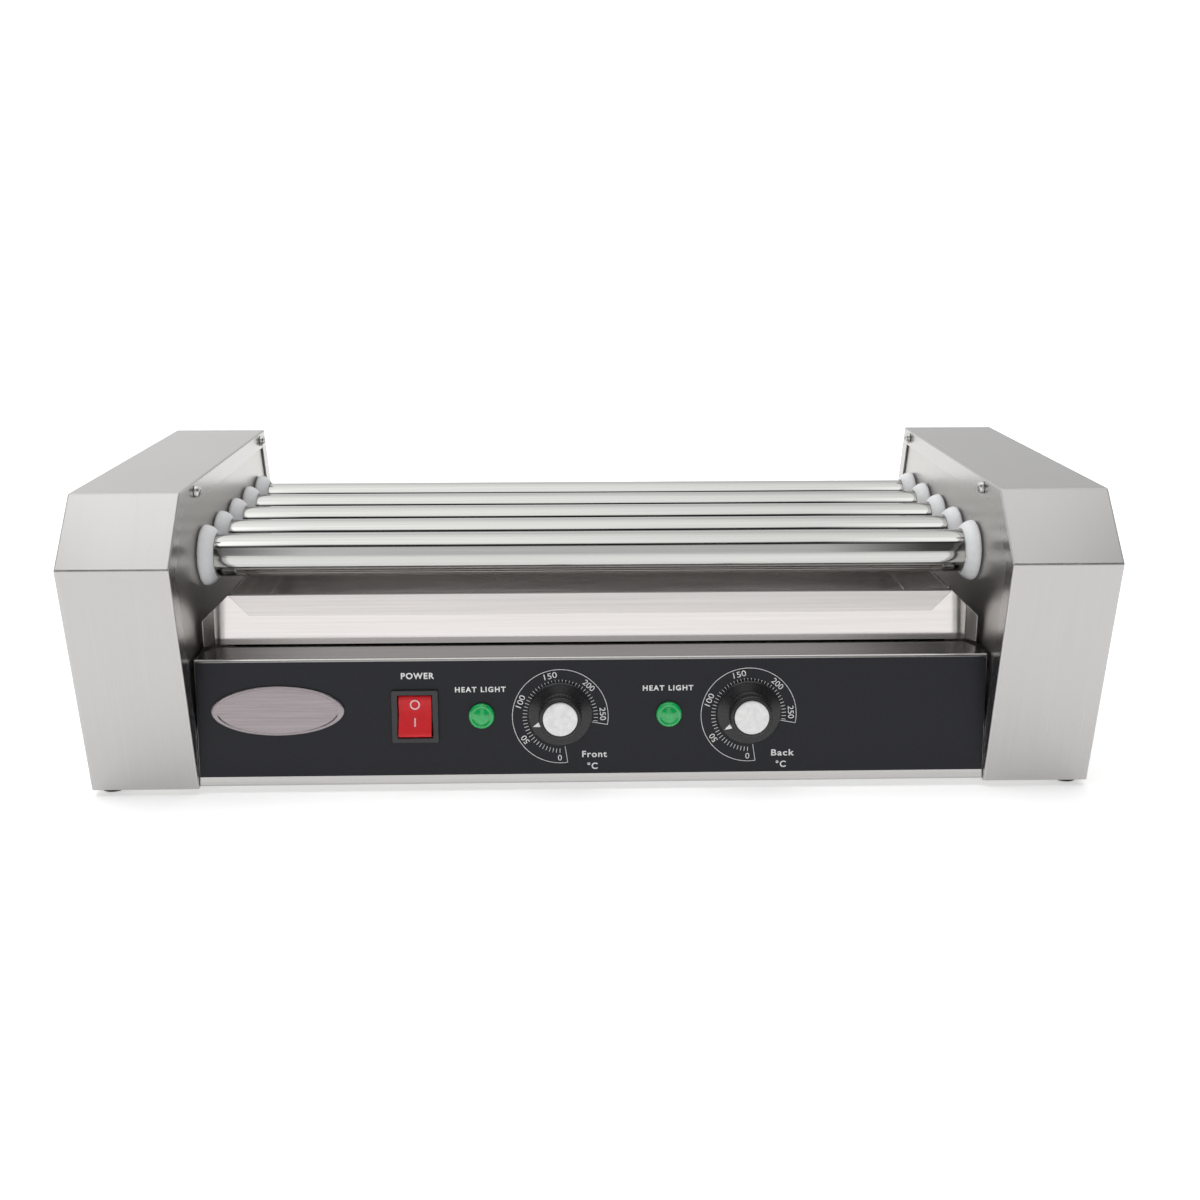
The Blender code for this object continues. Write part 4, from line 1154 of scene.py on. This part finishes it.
# ---- Terminal block ----
# A white nylon block with three screw wells, on the floor of the wiring bay.
nylon = moulded_skin("white_nylon", (0.70, 0.70, 0.66), (0.80, 0.80, 0.76), (0.4, 0.55))
carry(nylon, "terminal_block")


# ---- Floor, light and camera ----
# A plain white floor with an even glow, in a room lit from above and more from the left.
# Reflections and light see grey and dark bands in front of the object, and the camera itself
# sees a plain white room.
deselect_all()
FLOOR_SIZE = 24
FLOOR_GLOW = 0.47
bpy.ops.mesh.primitive_plane_add(size=FLOOR_SIZE, location=(0, 0, 0))
floor = bpy.context.object
floor.name = "floor"
paper, paper_shader = new_skin("white_paper", (0.93, 0.93, 0.93), 0.0, 0.9, Specular_IOR_Level=0.0)
paper_shader.inputs["Emission Color"].default_value = (1.0, 1.0, 1.0, 1.0)
paper_tone = grain(paper, (3, 3, 3), detail=2.0)
tint(paper, paper_tone, (0.92, 0.92, 0.92), (0.94, 0.94, 0.94), paper_shader.inputs["Base Color"])
paper_shader.inputs["Emission Strength"].default_value = FLOOR_GLOW
floor.data.materials.append(paper)

world = bpy.data.worlds.new("studio")
bpy.context.scene.world = world
world.use_nodes = True
tree = world.node_tree
tree.nodes.clear()


def studio(kind, **settings):
    node = tree.nodes.new("ShaderNode" + kind)
    for setting, value in settings.items():
        if setting in node.inputs:
            node.inputs[setting].default_value = value
        else:
            setattr(node, setting, value)
    return node


def level_ramp(source, stops):
    """Brightness by height, from -1 straight down to 1 straight up."""
    share = studio("MapRange")
    share.inputs["From Min"].default_value = -1.0
    tree.links.new(source, share.inputs["Value"])
    ramp = studio("ValToRGB")
    for extra in range(len(stops) - 2):
        ramp.color_ramp.elements.new(0.5)
    for element, (height, tone) in zip(ramp.color_ramp.elements, stops):
        element.position = (math.sin(math.radians(height)) + 1) / 2
        element.color = (*tone, 1.0)
    tree.links.new(share.outputs["Result"], ramp.inputs["Fac"])
    return ramp.outputs["Color"]


def blend(share, low_tone, high_tone):
    mixed = studio("Mix", data_type="RGBA")
    tree.links.new(share, mixed.inputs[0])
    tree.links.new(low_tone, mixed.inputs[6])
    tree.links.new(high_tone, mixed.inputs[7])
    return mixed.outputs[2]


def fade(source, start, end, low_value=0.0, high_value=1.0):
    span = studio("MapRange")
    for socket, value in zip(RANGE_SOCKETS, (start, end, low_value, high_value)):
        span.inputs[socket].default_value = value
    tree.links.new(source, span.inputs["Value"])
    return span.outputs["Result"]


way = studio("TexCoord")
split = studio("SeparateXYZ")
tree.links.new(way.outputs["Generated"], split.inputs["Vector"])
WHITE = (0.72, 0.72, 0.72)
BACKDROP = (0.56, 0.56, 0.56)
GREY = (0.55, 0.55, 0.56)
DARK = (0.05, 0.05, 0.05)
BLACK = (0.015, 0.015, 0.015)
LIGHT = (0.95, 0.95, 0.94)
SIDE_LIGHT = (1.28, 1.28, 1.27)
SIDE_EDGE = (0.19, 0.26)
BACK_EDGE = (-0.12, 0.05)
SIDE_REACH = 0.8
LEFT_STRENGTH = 2.0
RIGHT_STRENGTH = 1.0
centre_tone = level_ramp(split.outputs["Z"], [
    (-90, WHITE), (5, WHITE), (9, GREY), (49, GREY),
    (53, BLACK), (62, BLACK), (68, LIGHT), (90, LIGHT),
])
side_tone = level_ramp(split.outputs["Z"], [
    (-90, WHITE), (5, WHITE), (10, DARK), (48, DARK),
    (52, BLACK), (57, BLACK), (62, SIDE_LIGHT), (90, SIDE_LIGHT),
])
back_tone = level_ramp(split.outputs["Z"], [(-90, WHITE), (0, BACKDROP), (30, BACKDROP), (90, LIGHT)])
aside = studio("Math", operation="ABSOLUTE")
tree.links.new(split.outputs["X"], aside.inputs[0])
front_tone = blend(fade(aside.outputs["Value"], *SIDE_EDGE), centre_tone, side_tone)
room = blend(fade(split.outputs["Y"], *BACK_EDGE), front_tone, back_tone)
rays = studio("LightPath")
pure = studio("RGB")
pure.outputs["Color"].default_value = (1.0, 1.0, 1.0, 1.0)
shine = studio("Background")
seen_room = blend(rays.outputs["Is Camera Ray"], room, pure.outputs["Color"])
tree.links.new(seen_room, shine.inputs["Color"])
strength = fade(split.outputs["X"], -SIDE_REACH, SIDE_REACH, LEFT_STRENGTH, RIGHT_STRENGTH)
tree.links.new(strength, shine.inputs["Strength"])
result = studio("OutputWorld")
tree.links.new(shine.outputs["Background"], result.inputs["Surface"])


def soft_box(name, power, size, location, target, size_y=None):
    lamp = bpy.data.lights.new(name, "AREA")
    lamp.energy = power
    lamp.shape = "RECTANGLE"
    lamp.size = size
    lamp.size_y = size_y or size
    made = bpy.data.objects.new(name, lamp)
    bpy.context.scene.collection.objects.link(made)
    made.location = location
    made.visible_glossy = False
    made.rotation_euler = (Vector(target) - Vector(location)).to_track_quat("-Z", "Y").to_euler()
    return made


soft_box("overhead_box", 5, 1.8, (-0.15, 0.25, 1.3), (0, 0.15, 0), size_y=1.0)

CAMERA_AT = (-0.0154, -0.8283, 0.3270)
CAMERA_TURN = math.radians(-1.51)
CAMERA_DIP = math.radians(16.38)
CAMERA_LENS = 40.1
CAMERA_SENSOR = 36
camera_lens = bpy.data.cameras.new("camera")
camera_lens.lens = CAMERA_LENS
camera_lens.sensor_width = CAMERA_SENSOR
camera = bpy.data.objects.new("camera", camera_lens)
bpy.context.scene.collection.objects.link(camera)
camera.location = CAMERA_AT
camera.rotation_euler = (math.pi / 2 - CAMERA_DIP, 0, CAMERA_TURN)
bpy.context.scene.camera = camera
bpy.context.scene.view_settings.view_transform = "Standard"
